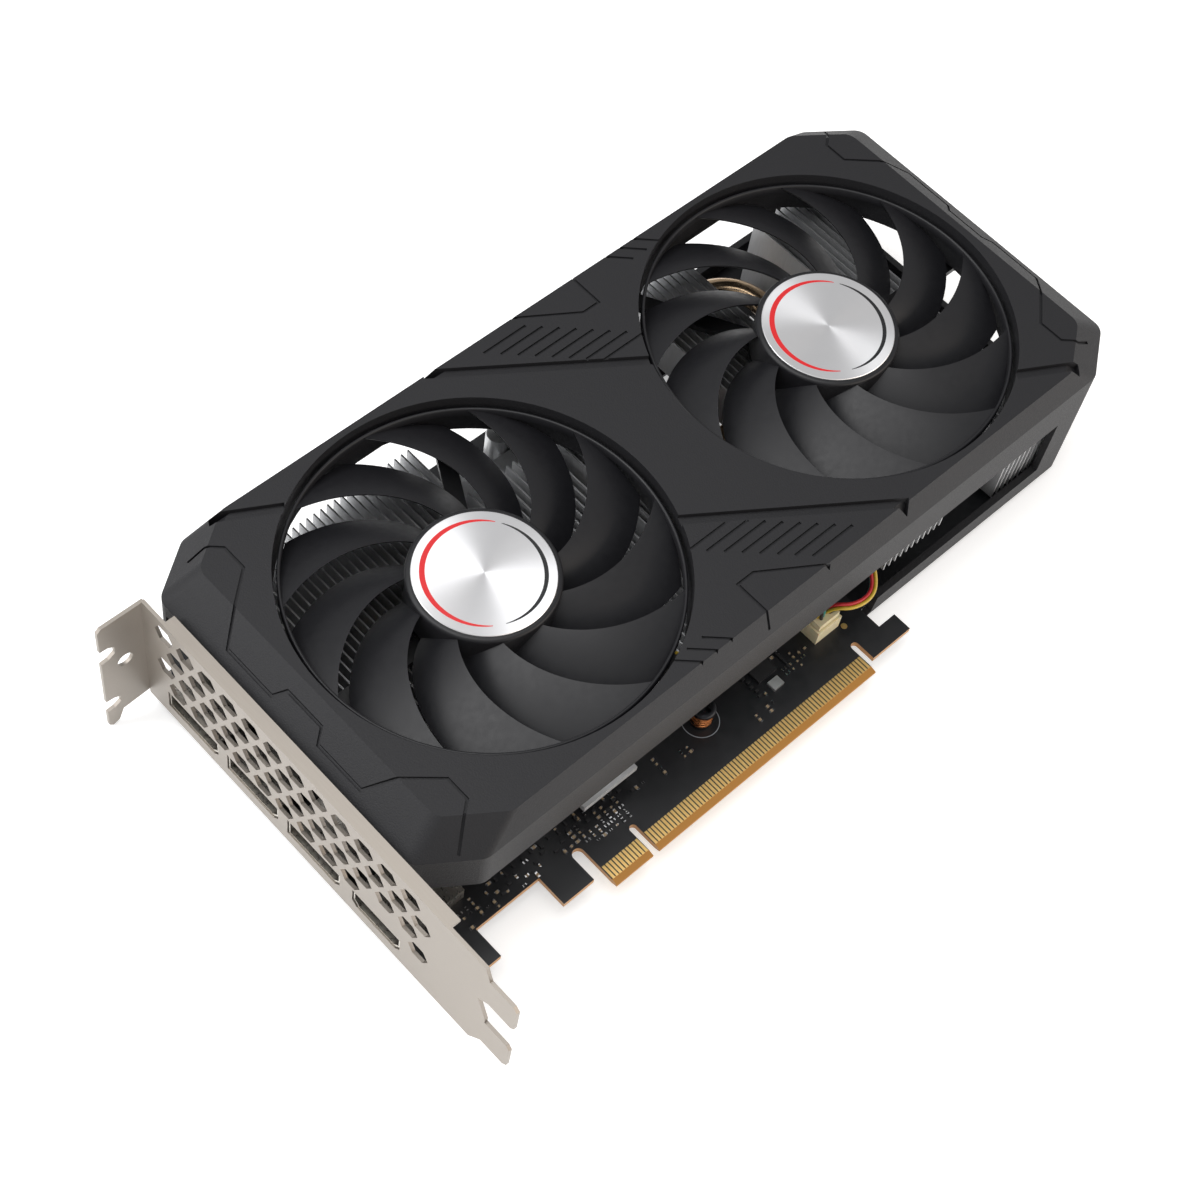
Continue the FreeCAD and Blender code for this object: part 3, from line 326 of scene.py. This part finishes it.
# Solder that ran and froze: bright, nearly a mirror.
SOLDER = finish("reflowed solder", "#c9cacb", "#e6e7e8", 0.22, metallic=1.0, grain=0.2)
# Screen-printed ink on the board: dull grey line.
LIGHT_INK = finish("screen-printed ink, grey", "#80878f", "#969ca3", 0.55, grain=0.3)
# Paper that glows a little, so that it stays white behind a black object.
FLOOR = finish("matt paper sweep, lit from behind", "#f4f4f4", "#f6f6f6", 0.90, grain=40.0,
               Emission_Color=linear("#ffffff"), Emission_Strength=0.42)


def paint_nodes():
    """Gives every CAD node the material of its slot."""
    slots = {row["node"]: row["material_slot"] for row in frame["record"]["subparts"]}
    for name, obj in frame["nodes"].items():
        obj.data.materials.clear()
        obj.data.materials.append(MATERIALS[slots[name]])


# ------------------------------------------------------------------ mesh helpers

def quads(rows, columns, closed_rows=False):
    """Faces of a grid of points, row by row; the columns always close on themselves."""
    r = np.arange(rows if closed_rows else rows - 1)[:, None]
    c = np.arange(columns)[None, :]
    below, after = (r + 1) % rows, (c + 1) % columns
    return np.stack([r * columns + c, r * columns + after, below * columns + after,
                     below * columns + c], axis=-1).reshape(-1, 4)


def capped(rings):
    """A tube through the rings of points, with a face over each end."""
    rows, columns = rings.shape[:2]
    faces = quads(rows, columns).tolist()
    faces.append(list(range(columns))[::-1])
    faces.append([(rows - 1) * columns + c for c in range(columns)])
    return rings.reshape(-1, 3), faces


def revolved(profile, centre, steps=96):
    """A profile of (radius, height) points carried round a vertical axis."""
    profile = np.asarray(profile, float)
    angle = np.linspace(0, TURN, steps, endpoint=False)
    x = centre[0] + profile[:, :1] * np.cos(angle)
    y = centre[1] + profile[:, :1] * np.sin(angle)
    z = np.repeat(profile[:, 1:], steps, axis=1)
    closed = np.allclose(profile[0], profile[-1])
    rings = np.stack([x, y, z], axis=-1)
    if closed:
        rings = rings[:-1]
    return rings.reshape(-1, 3), quads(len(rings), steps, closed_rows=closed).tolist()


def joined(parts):
    """Several (points, faces) pairs as one pair."""
    points, faces, start = [], [], 0
    for own, own_faces in parts:
        points.append(np.asarray(own, float))
        faces += [[start + i for i in face] for face in own_faces]
        start += len(own)
    return np.concatenate(points), faces


def make(name, shape, material, body, stands_for=(), sharp=35):
    """A mesh piece from points in mm: doubles merged, faces outwards, riding on its body."""
    points, faces = shape
    mesh = bpy.data.meshes.new(name)
    mesh.from_pydata((np.asarray(points) * MM).tolist(), [], faces)
    work = bmesh.new()
    work.from_mesh(mesh)
    bmesh.ops.remove_doubles(work, verts=work.verts, dist=1e-7)
    bmesh.ops.dissolve_degenerate(work, edges=work.edges, dist=1e-8)
    bmesh.ops.recalc_face_normals(work, faces=work.faces)
    work.to_mesh(mesh)
    work.free()
    mesh.shade_smooth()
    mesh.set_sharp_from_angle(angle=math.radians(sharp))
    obj = bpy.data.objects.new(name, mesh)
    bpy.context.scene.collection.objects.link(obj)
    mesh.materials.append(material)
    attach(obj, body)
    if stands_for:
        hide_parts(*stands_for)
    return obj


def node_box(name):
    """Corners of a CAD node in mm."""
    low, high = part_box(name)
    return np.array(low) / MM, np.array(high) / MM


# ------------------------------------------------------------------ fans

def blade(side, centre, low, crest, tip_r):
    """One fan blade, closed all round.

    Along the blade the radius runs evenly from hub to ring, and the high edge turns with it
    by the sweep. Across it the angle falls by the chord, while the height falls by a straight
    and a squared term, steeply at the hub and gently at the ring. The two skins are a
    thickness apart, which closes to nothing at both edges like a flattened oval.
    """
    rows, across = 26, 22
    s = np.linspace(0, 1, rows)[:, None]
    t = (1 - np.cos(np.linspace(0, math.pi, across))) / 2
    t = t[None, :]
    radius = (HUB_R - 0.5) + (tip_r - HUB_R + 0.5) * s
    angle = np.radians(PHASE[side] + SWEEP * s - (30.0 - 3.0 * s) * t)
    fall = (crest - low) * (1.0 - 0.22 * s) - BLADE_T
    height = crest - 0.9 * (1 - s) ** 3 - fall * (0.62 * t + 0.38 * t * t)
    half = 0.55 * BLADE_T * np.sqrt(np.clip(1 - np.abs(2 * t - 1) ** 6, 0, 1)) + 0 * s
    upper = np.stack([radius * np.cos(angle), radius * np.sin(angle), height], axis=-1)
    lower = upper.copy()
    lower[..., 2] -= 2 * half
    loop = np.concatenate([upper, lower[:, -2:0:-1]], axis=1)
    loop[..., 0] += centre[0]
    loop[..., 1] += centre[1]
    return capped(loop)


def turned(shape, centre, degrees):
    """A shape turned about a vertical axis."""
    points, faces = shape
    a = math.radians(degrees)
    spin = np.array([[math.cos(a), -math.sin(a), 0], [math.sin(a), math.cos(a), 0], [0, 0, 1]])
    middle = np.array([centre[0], centre[1], 0])
    return (points - middle) @ spin.T + middle, faces


def impeller(side):
    """Hub cup with a rounded rim, eleven blades and the slim ring that joins their tips."""
    low, high = node_box("impeller_" + side)
    centre = (low[:2] + high[:2]) / 2
    ring_r = (high[0] - low[0]) / 2
    top = node_box("hub_label_" + side)[0][2]
    round_over = [(HUB_R - HUB_ROUND + HUB_ROUND * math.sin(a),
                   top - HUB_ROUND + HUB_ROUND * math.cos(a))
                  for a in np.linspace(0, math.pi / 2, 7)]
    cup = [(0, top)] + round_over + [(HUB_R, low[2]), (HUB_R - HUB_WALL, low[2]),
                                     (HUB_R - HUB_WALL, top - HUB_WALL), (0, top - HUB_WALL)]
    bead = 0.25
    foot, inner = high[2] - RING_H, ring_r - RING_T
    ring = [(inner, foot), (ring_r, foot), (ring_r, high[2] - bead), (ring_r - bead, high[2]),
            (inner + bead, high[2]), (inner, high[2] - bead), (inner, foot)]
    first = blade(side, centre, low[2] + 0.2, top - 0.1, ring_r - RING_T / 2)
    blades = [turned(first, centre, 360 / BLADES * i) for i in range(BLADES)]
    shape = joined([revolved(cup, centre), revolved(ring, centre, 160)] + blades)
    make("impeller_smooth_" + side, shape, MATERIALS["fan_plastic"], "rotor_" + side,
         stands_for=["impeller_" + side], sharp=50)


def spun_map(obj, centre):
    """UV map whose U runs round the disc and whose V runs outwards, for the spun grain."""
    mesh = obj.data
    layer = mesh.uv_layers.new(name="spun")
    points = np.empty(len(mesh.vertices) * 3)
    mesh.vertices.foreach_get("co", points)
    points = points.reshape(-1, 3)[:, :2] / MM - centre
    corner = np.empty(len(mesh.loops), int)
    mesh.loops.foreach_get("vertex_index", corner)
    middles = np.empty(len(mesh.polygons) * 3)
    mesh.polygons.foreach_get("center", middles)
    middles = middles.reshape(-1, 3)[:, :2] / MM - centre
    totals = np.empty(len(mesh.polygons), int)
    mesh.polygons.foreach_get("loop_total", totals)
    face = np.repeat(np.arange(len(totals)), totals)
    own = np.arctan2(points[corner, 1], points[corner, 0])
    home = np.arctan2(middles[face, 1], middles[face, 0])
    radius = np.hypot(points[corner, 0], points[corner, 1])
    own = np.where(radius < 1e-4, home, home + (own - home + math.pi) % TURN - math.pi)
    layer.data.foreach_set("uv", np.stack([own / TURN, radius / 20], axis=-1).ravel())


def crescent(centre, start, end, width, z):
    """Printed line along a circle between two angles, widest at its middle and tapered to both ends."""
    steps = 90
    t = np.linspace(0, 1, steps)
    a = np.radians(start + (end - start) * t)
    half = width * (0.12 + 0.88 * np.sin(math.pi * t) ** 0.8) / 2
    rims = [(LINE_R - half, z), (LINE_R + half, z), (LINE_R + half, z + INK_T),
            (LINE_R - half, z + INK_T)]
    rings = np.stack([np.stack([centre[0] + r * np.cos(a), centre[1] + r * np.sin(a),
                                np.full(steps, h)], axis=-1) for r, h in rims], axis=1)
    return capped(rings)


def hub_label(side):
    """Silver disc with a rounded edge and a printed ring line, part red and part black."""
    low, high = node_box("hub_label_" + side)
    centre = (low[:2] + high[:2]) / 2
    r = (high[0] - low[0]) / 2
    profile = [(0, low[2]), (r, low[2]), (r, high[2] - 0.12), (r - 0.12, high[2]),
               (r * 0.75, high[2]), (r * 0.5, high[2]), (r * 0.25, high[2]), (0, high[2])]
    body = "rotor_" + side
    disc = make("hub_disc_" + side, revolved(profile, centre, 120), LABEL, body,
                stands_for=["hub_label_" + side], sharp=30)
    spun_map(disc, centre)
    make("hub_line_red_" + side, crescent(centre, 38, 236, 1.25, high[2]), RED_INK, body)
    make("hub_line_black_" + side, crescent(centre, 248, 392, 0.95, high[2]), BLACK_INK, body)


# ------------------------------------------------------------------ fan leads

def under_arm(side, degrees, radius, level):
    """A point under a fan frame's arm."""
    low, high = node_box("impeller_" + side)
    a = math.radians(degrees)
    return ((low[0] + high[0]) / 2 + radius * math.cos(a),
            (low[1] + high[1]) / 2 + radius * math.sin(a), level)


def lead_routes():
    """Control points of the two bundles, in mm, from the plug to under each motor."""
    top = node_box("fan_plug")[1][2]
    level = 24.35
    return {
        "right": [(129.9, 17.0, top), (129.6, 15.6, 12.2), (132.6, 12.4, 12.6),
                  (138.4, 11.8, 12.0), (142.4, 14.8, 13.0), (144.6, 22.0, 19.0),
                  (145.6, 30.0, level),
                  under_arm("right", 240, 31.0, level), under_arm("right", 240, 19.0, level)],
        "left": [(127.3, 17.0, top), (127.3, 17.0, 14.5), (120.0, 18.0, 18.5),
                 (104.0, 18.0, 18.5), (91.0, 20.5, 24.0), (84.0, 27.0, level),
                 under_arm("left", 300, 34.0, level), under_arm("left", 300, 19.0, level)],
    }


def fan_leads(side, route):
    """Four thin insulated wires, loosely twisted round the bundle's line."""
    line = np.array(route, float)
    ahead = np.gradient(line, axis=0)
    ahead /= np.linalg.norm(ahead, axis=1, keepdims=True)
    across = np.cross(ahead, (0.25, 0.1, 1.0))
    across /= np.linalg.norm(across, axis=1, keepdims=True)
    above = np.cross(across, ahead)
    for k, colour in enumerate(LEAD_COLOURS):
        a = np.radians(45 + 90 * k + 28 * np.arange(len(line)))[:, None]
        points = line + WIRE_SPREAD * (np.cos(a) * across + np.sin(a) * above)
        curve = bpy.data.curves.new("fan_lead_%s_%s" % (side, colour), "CURVE")
        curve.dimensions = "3D"
        curve.bevel_depth = WIRE_R * MM
        curve.bevel_resolution = 3
        curve.resolution_u = 10
        curve.use_fill_caps = True
        spline = curve.splines.new("NURBS")
        spline.points.add(len(points) - 1)
        spline.points.foreach_set("co", np.c_[points * MM, np.ones(len(points))].ravel())
        spline.order_u = 3
        spline.use_endpoint_u = True
        obj = bpy.data.objects.new(curve.name, curve)
        bpy.context.scene.collection.objects.link(obj)
        curve.materials.append(LEAD_COLOURS[colour])
        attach(obj, "card")
        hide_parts("fan_leads_" + side)


# ------------------------------------------------------------------ small hardware

def cross_head(x, y, z, radius, height, up=1):
    """Pan head with a cross recess.

    Over radius and angle the height is a flattened dome; where the point lies within half a
    slot's width of either axis and inside the slot's reach, it drops by the recess.
    """
    rows, columns = 18, 64
    r = np.linspace(0, 1, rows)[:, None] * radius
    a = np.linspace(0, TURN, columns, endpoint=False)[None, :]
    px, py = r * np.cos(a), r * np.sin(a)
    dome = height * (0.45 + 0.55 * np.sqrt(np.clip(1 - (r / radius) ** 4, 0, 1))) + 0 * a
    slot_w, reach = 0.16 * radius, 0.62 * radius
    inside = (np.minimum(np.abs(px), np.abs(py)) < slot_w) & (np.maximum(np.abs(px),
                                                                       np.abs(py)) < reach)
    dome = np.where(inside, height * 0.35, dome)
    rings = np.stack([x + px, y + py, z + up * dome], axis=-1)
    skirt = rings[-1:].copy()
    skirt[..., 2] = z
    floor = skirt.copy()
    floor[..., 0], floor[..., 1] = x, y
    rings = np.concatenate([rings, skirt, floor])
    return rings.reshape(-1, 3), quads(len(rings), columns).tolist()


def coil(x, y, z0, z1, radius, wire, turns):
    """Round wire carried up a helix: a small circle swept round the axis as it climbs."""
    steps, ring = int(turns * 28), 8
    t = np.linspace(0, 1, steps)[:, None]
    a = TURN * turns * t
    b = np.linspace(0, TURN, ring, endpoint=False)[None, :]
    out = radius + wire * np.cos(b)
    rings = np.stack([x + out * np.cos(a), y + out * np.sin(a),
                      z0 + (z1 - z0) * t + wire * np.sin(b)], axis=-1)
    return capped(rings)


def round_places(node, level, reach):
    """Middles of a node's round faces at one level, told apart by a reach in mm."""
    mesh = frame["nodes"][node].data
    points = np.empty(len(mesh.vertices) * 3)
    mesh.vertices.foreach_get("co", points)
    points = points.reshape(-1, 3) / MM
    groups = []
    for point in points[np.abs(points[:, 2] - level) < 0.01][:, :2]:
        near = [group for group in groups if np.hypot(*(point - group[0])) < reach]
        if near:
            near[0].append(point)
        else:
            groups.append([point])
    return [(np.min(group, axis=0) + np.max(group, axis=0)) / 2 for group in groups]


def screws():
    """Spring screw beside the card edge, with its printed ring, and the heads on the backplate."""
    board_top = node_box("circuit_board")[1][2]
    x, y = SPRING_SCREW
    head_z = board_top + SPRING_H
    make("spring_screw_coil", coil(x, y, board_top + 0.5, head_z - 0.2, SPRING_R, 0.36, 4.0),
         SPRING, "card")
    post = revolved([(0, board_top), (1.4, board_top), (1.4, head_z), (0, head_z)], (x, y), 40)
    make("spring_screw", joined([post, cross_head(x, y, head_z, 2.9, 1.3)]),
         MATERIALS["black_screw"], "card", sharp=40)
    inner, outer = PRINT_RING
    ink_top = board_top + 0.02
    ink = [(inner, board_top), (outer, board_top), (outer, ink_top), (inner, ink_top),
           (inner, board_top)]
    make("screw_ring_print", revolved(ink, (x, y), 72), LIGHT_INK, "card")
    behind = node_box("cooler_screws")[0][2]
    tops = [cross_head(cx, cy, behind, 2.4, 0.5, up=-1)
            for cx, cy in round_places("cooler_screws", behind, 8.0)]
    make("back_screw_recesses", joined(tops), MATERIALS["black_screw"], "card",
         sharp=40)


# ------------------------------------------------------------------ board detail

def bricks(centres, sizes):
    """Small boxes, all at once: each is its centre plus or minus half its size."""
    signs = np.array([(i, j, k) for k in (-1, 1) for j in (-1, 1) for i in (-1, 1)])
    points = (centres[:, None, :] + 0.5 * signs[None] * sizes[:, None, :]).reshape(-1, 3)
    box = np.array([(0, 2, 3, 1), (4, 5, 7, 6), (0, 1, 5, 4), (2, 6, 7, 3), (0, 4, 6, 2),
                    (1, 3, 7, 5)])
    faces = (box[None] + 8 * np.arange(len(centres))[:, None, None]).reshape(-1, 4)
    return points, faces.tolist()


def search_tree(name):
    """Search tree of a CAD node's triangles, in mm."""
    mesh = frame["nodes"][name].data
    corners = [mathutils.Vector(v.co) / MM for v in mesh.vertices]
    return BVHTree.FromPolygons(corners, [list(p.vertices) for p in mesh.polygons])


BOARD_TREE = search_tree("circuit_board")
NEIGHBOURS = [search_tree(name) for name in ("control_chips", "clock_crystal", "fan_header",
              "chip_components", "capacitors", "io_bracket", "hdmi_socket", "bracket_screws",
              "board_screws", "display_socket_1", "cold_plate", "memory_chips",
              "edge_contacts", "power_inductors", "fin_stay")]


def clear_board(spot, top):
    """True where the board carries on about a chip's length each way and nothing stands on it."""
    x, y = spot
    down = mathutils.Vector((0, 0, -1))
    for dx, dy in ((0, 0), (0.9, 0.7), (-0.9, 0.7), (0.9, -0.7), (-0.9, -0.7)):
        start = mathutils.Vector((x + dx, y + dy, top + 3.0))
        place, _, _, _ = BOARD_TREE.ray_cast(start, down)
        if place is None or abs(place.z - top) > 0.05:
            return False
        if any(tree.ray_cast(start, down)[0] is not None for tree in NEIGHBOURS):
            return False
    return math.hypot(x - SPRING_SCREW[0], y - SPRING_SCREW[1]) > 5.5


def small_parts():
    """Chip resistors and capacitors in loose clusters, each with two tinned ends.

    Each cluster is given by its limits along X and Y and the most chips that it holds.
    """
    rng = np.random.default_rng(7)
    top = node_box("circuit_board")[1][2]
    patches = [(43, 62, 10.5, 19.5, 66), (8, 40, 13.0, 19.0, 44), (80, 85, 13.0, 15.0, 4),
               (66, 74, 13.0, 17.5, 6), (104, 108, 12.5, 18.5, 9), (112, 117, 13.0, 18.5, 9),
               (118, 124, 12.5, 17.0, 8), (100, 110, 8.5, 10.8, 5)]
    spots = []
    for x0, x1, y0, y1, count in patches:
        grid = [(x, y) for x in np.arange(x0, x1, CHIP_PITCH[0])
                for y in np.arange(y0, y1, CHIP_PITCH[1])]
        for index in rng.permutation(len(grid))[:count]:
            spots.append(grid[index])
    spots = np.array([spot for spot in spots if clear_board(spot, top)])
    turned_round = rng.random(len(spots)) < 0.35
    long_side = rng.choice([0.8, 1.0, 1.3], len(spots))
    wide = long_side * 0.5
    tall = rng.choice([0.28, 0.42], len(spots))
    centres = np.c_[spots, top + tall / 2]
    along = np.where(turned_round, wide, long_side)
    beside = np.where(turned_round, long_side, wide)
    kind = rng.random(len(spots)) < 0.45
    core = np.c_[along * np.where(turned_round, 1, 0.6), beside * np.where(turned_round, 0.6, 1),
                 tall]
    make("chip_resistors", bricks(centres[kind], core[kind]), CHIP_BLACK, "card")
    make("chip_capacitors", bricks(centres[~kind], core[~kind]), CERAMIC, "card")
    shift = np.where(turned_round[:, None], [[0, 1, 0]], [[1, 0, 0]]) * long_side[:, None] * 0.38
    cap = np.c_[np.where(turned_round, along, long_side * 0.24),
                np.where(turned_round, long_side * 0.24, beside), tall * 1.06]
    ends = np.concatenate([centres + shift, centres - shift])
    make("chip_ends", bricks(ends, np.concatenate([cap, cap])), SOLDER, "card")


def capacitors():
    """Aluminium cans on black bases, each with a groove, a rounded top and a printed half moon.

    The three along the far long side are the taller ones.
    """
    low, high = node_box("capacitors")
    cans, bases, moons = [], [], []
    r = CAN_R
    for x, y in round_places("capacitors", high[2], 6.5):
        top = high[2] + (TALL_CAN if y > FAR_ROW_Y else 0.0)
        foot = low[2] + 0.9
        cans.append(revolved([(0, foot), (r - 0.1, foot), (r - 0.1, foot + 0.6),
                              (r - 0.45, foot + 0.9), (r - 0.1, foot + 1.3), (r - 0.1, top - 0.5),
                              (r - 0.25, top - 0.12), (r - 0.6, top), (0, top)], (x, y), 40))
        bases.append(revolved([(0, low[2]), (r, low[2]), (r, foot), (0, foot)], (x, y), 24))
        moons.append(half_moon(x, y, top, r - 0.65))
    make("capacitor_cans", joined(cans), MATERIALS["capacitor_can"], "card",
         stands_for=["capacitors"])
    make("capacitor_bases", joined(bases), MATERIALS["black_nylon"], "card")
    make("capacitor_marks", joined(moons), RED_INK, "card")


def half_moon(x, y, z, radius):
    """Thin printed segment of a disc, cut off at a third of its radius from the middle."""
    start = math.acos(1 / 3)
    a = np.linspace(-start, start, 24)
    rim = np.c_[x + radius * np.cos(a), y + radius * np.sin(a)]
    rings = np.stack([np.c_[rim, np.full(len(rim), z)], np.c_[rim, np.full(len(rim), z + INK_T)]])
    return capped(rings)


def board_marks():
    """Bare gold mark beside the fan plug."""
    top = node_box("circuit_board")[1][2]
    dot = [(0, top), (0.8, top), (0.8, top + INK_T), (0, top + INK_T)]
    make("gold_mark", revolved(dot, GOLD_MARK, 32), MATERIALS["gold_plate"], "card")


def fin_ends():
    """The near stack's fins carried on towards the far long side, under the shroud's wall."""
    low, high = node_box("fins_near")
    x = np.arange(low[0], high[0] - FIN_T / 2, FIN_PITCH) + FIN_T / 2
    y = np.full(len(x), high[1] + FIN_REACH / 2)
    middle = np.c_[x, y, np.full(len(x), (low[2] + high[2]) / 2)]
    size = np.tile([FIN_T, FIN_REACH, high[2] - low[2]], (len(x), 1))
    make("fins_near_ends", bricks(middle, size), MATERIALS["aluminium_sheet"], "card")


def fan_screws():
    """Small cross-head screws under the ears of both fan frames."""
    heads = []
    for side, first in zip(SIDES, (180.0, 0.0)):
        low, high = node_box("impeller_" + side)
        centre = (low[:2] + high[:2]) / 2
        under = node_box("fan_frame_" + side)[0][2]
        for k in range(3):
            a = math.radians(first + 120 * k)
            heads.append(cross_head(centre[0] + EAR_R * math.cos(a),
                                    centre[1] + EAR_R * math.sin(a), under, 2.3, 1.1, up=-1))
    make("fan_screws", joined(heads), MATERIALS["black_screw"], "card",
         sharp=40)


# ------------------------------------------------------------------ stage

def floor():
    """Pale paper under the card."""
    low = CAD_BOX[0][2] - 0.0002
    reach = 15.0
    mesh = bpy.data.meshes.new("paper")
    mesh.from_pydata([(-reach, -reach, low), (reach, -reach, low), (reach, reach, low),
                      (-reach, reach, low)], [], [(0, 1, 2, 3)])
    mesh.materials.append(FLOOR)
    obj = bpy.data.objects.new("paper", mesh)
    bpy.context.scene.collection.objects.link(obj)


def lamp(name, place, aim, size, watts, colour="#ffffff"):
    """Soft rectangular light aimed at a point, in metres."""
    data = bpy.data.lights.new(name, "AREA")
    data.shape = "RECTANGLE"
    data.size, data.size_y = size
    data.energy = watts
    data.color = linear(colour)[:3]
    obj = bpy.data.objects.new(name, data)
    heading = mathutils.Vector(aim) - mathutils.Vector(place)
    obj.rotation_euler = heading.to_track_quat("-Z", "Y").to_euler()
    obj.location = place
    bpy.context.scene.collection.objects.link(obj)


def lights():
    """Large overhead box, a strip from the far side and a low warm fill near the card edge."""
    world = bpy.data.worlds.new("studio")
    world.use_nodes = True
    world.node_tree.nodes["Background"].inputs[0].default_value = linear("#ffffff")
    world.node_tree.nodes["Background"].inputs[1].default_value = 0.46
    bpy.context.scene.world = world
    middle = (0.11, 0.05, 0.02)
    lamp("overhead", (-0.06, 0.16, 0.75), middle, (0.7, 0.7), 4.0)
    lamp("far_strip", (-0.45, 0.45, 0.45), middle, (0.25, 0.9), 3.0)
    lamp("near_fill", (0.35, -0.55, 0.25), middle, (0.8, 0.3), 2.2, "#fff2e4")


def camera():
    """Long lens, looking down on the card from its bracket end."""
    data = bpy.data.cameras.new("camera")
    data.sensor_width = 36.0
    data.lens = 68.33
    data.shift_x = 0.00277
    data.shift_y = -0.00258
    data.clip_start = 0.01
    obj = bpy.data.objects.new("camera", data)
    ahead = mathutils.Vector((0.432, 0.321, -0.843)).normalized()
    right = mathutils.Vector((0.723, -0.682, 0.111))
    right = (right - ahead * right.dot(ahead)).normalized()
    above = right.cross(ahead)
    turn = mathutils.Matrix((right, above, -ahead)).transposed()
    obj.matrix_world = mathutils.Matrix.Translation((-0.137581, -0.115091, 0.452825)) @ turn.to_4x4()
    bpy.context.scene.collection.objects.link(obj)
    bpy.context.scene.camera = obj


bpy.context.scene.view_settings.view_transform = "Standard"
paint_nodes()
for fan_side in SIDES:
    impeller(fan_side)
    hub_label(fan_side)
for lead_side, lead_route in lead_routes().items():
    fan_leads(lead_side, lead_route)
screws()
small_parts()
capacitors()
board_marks()
fin_ends()
fan_screws()
floor()
lights()
camera()
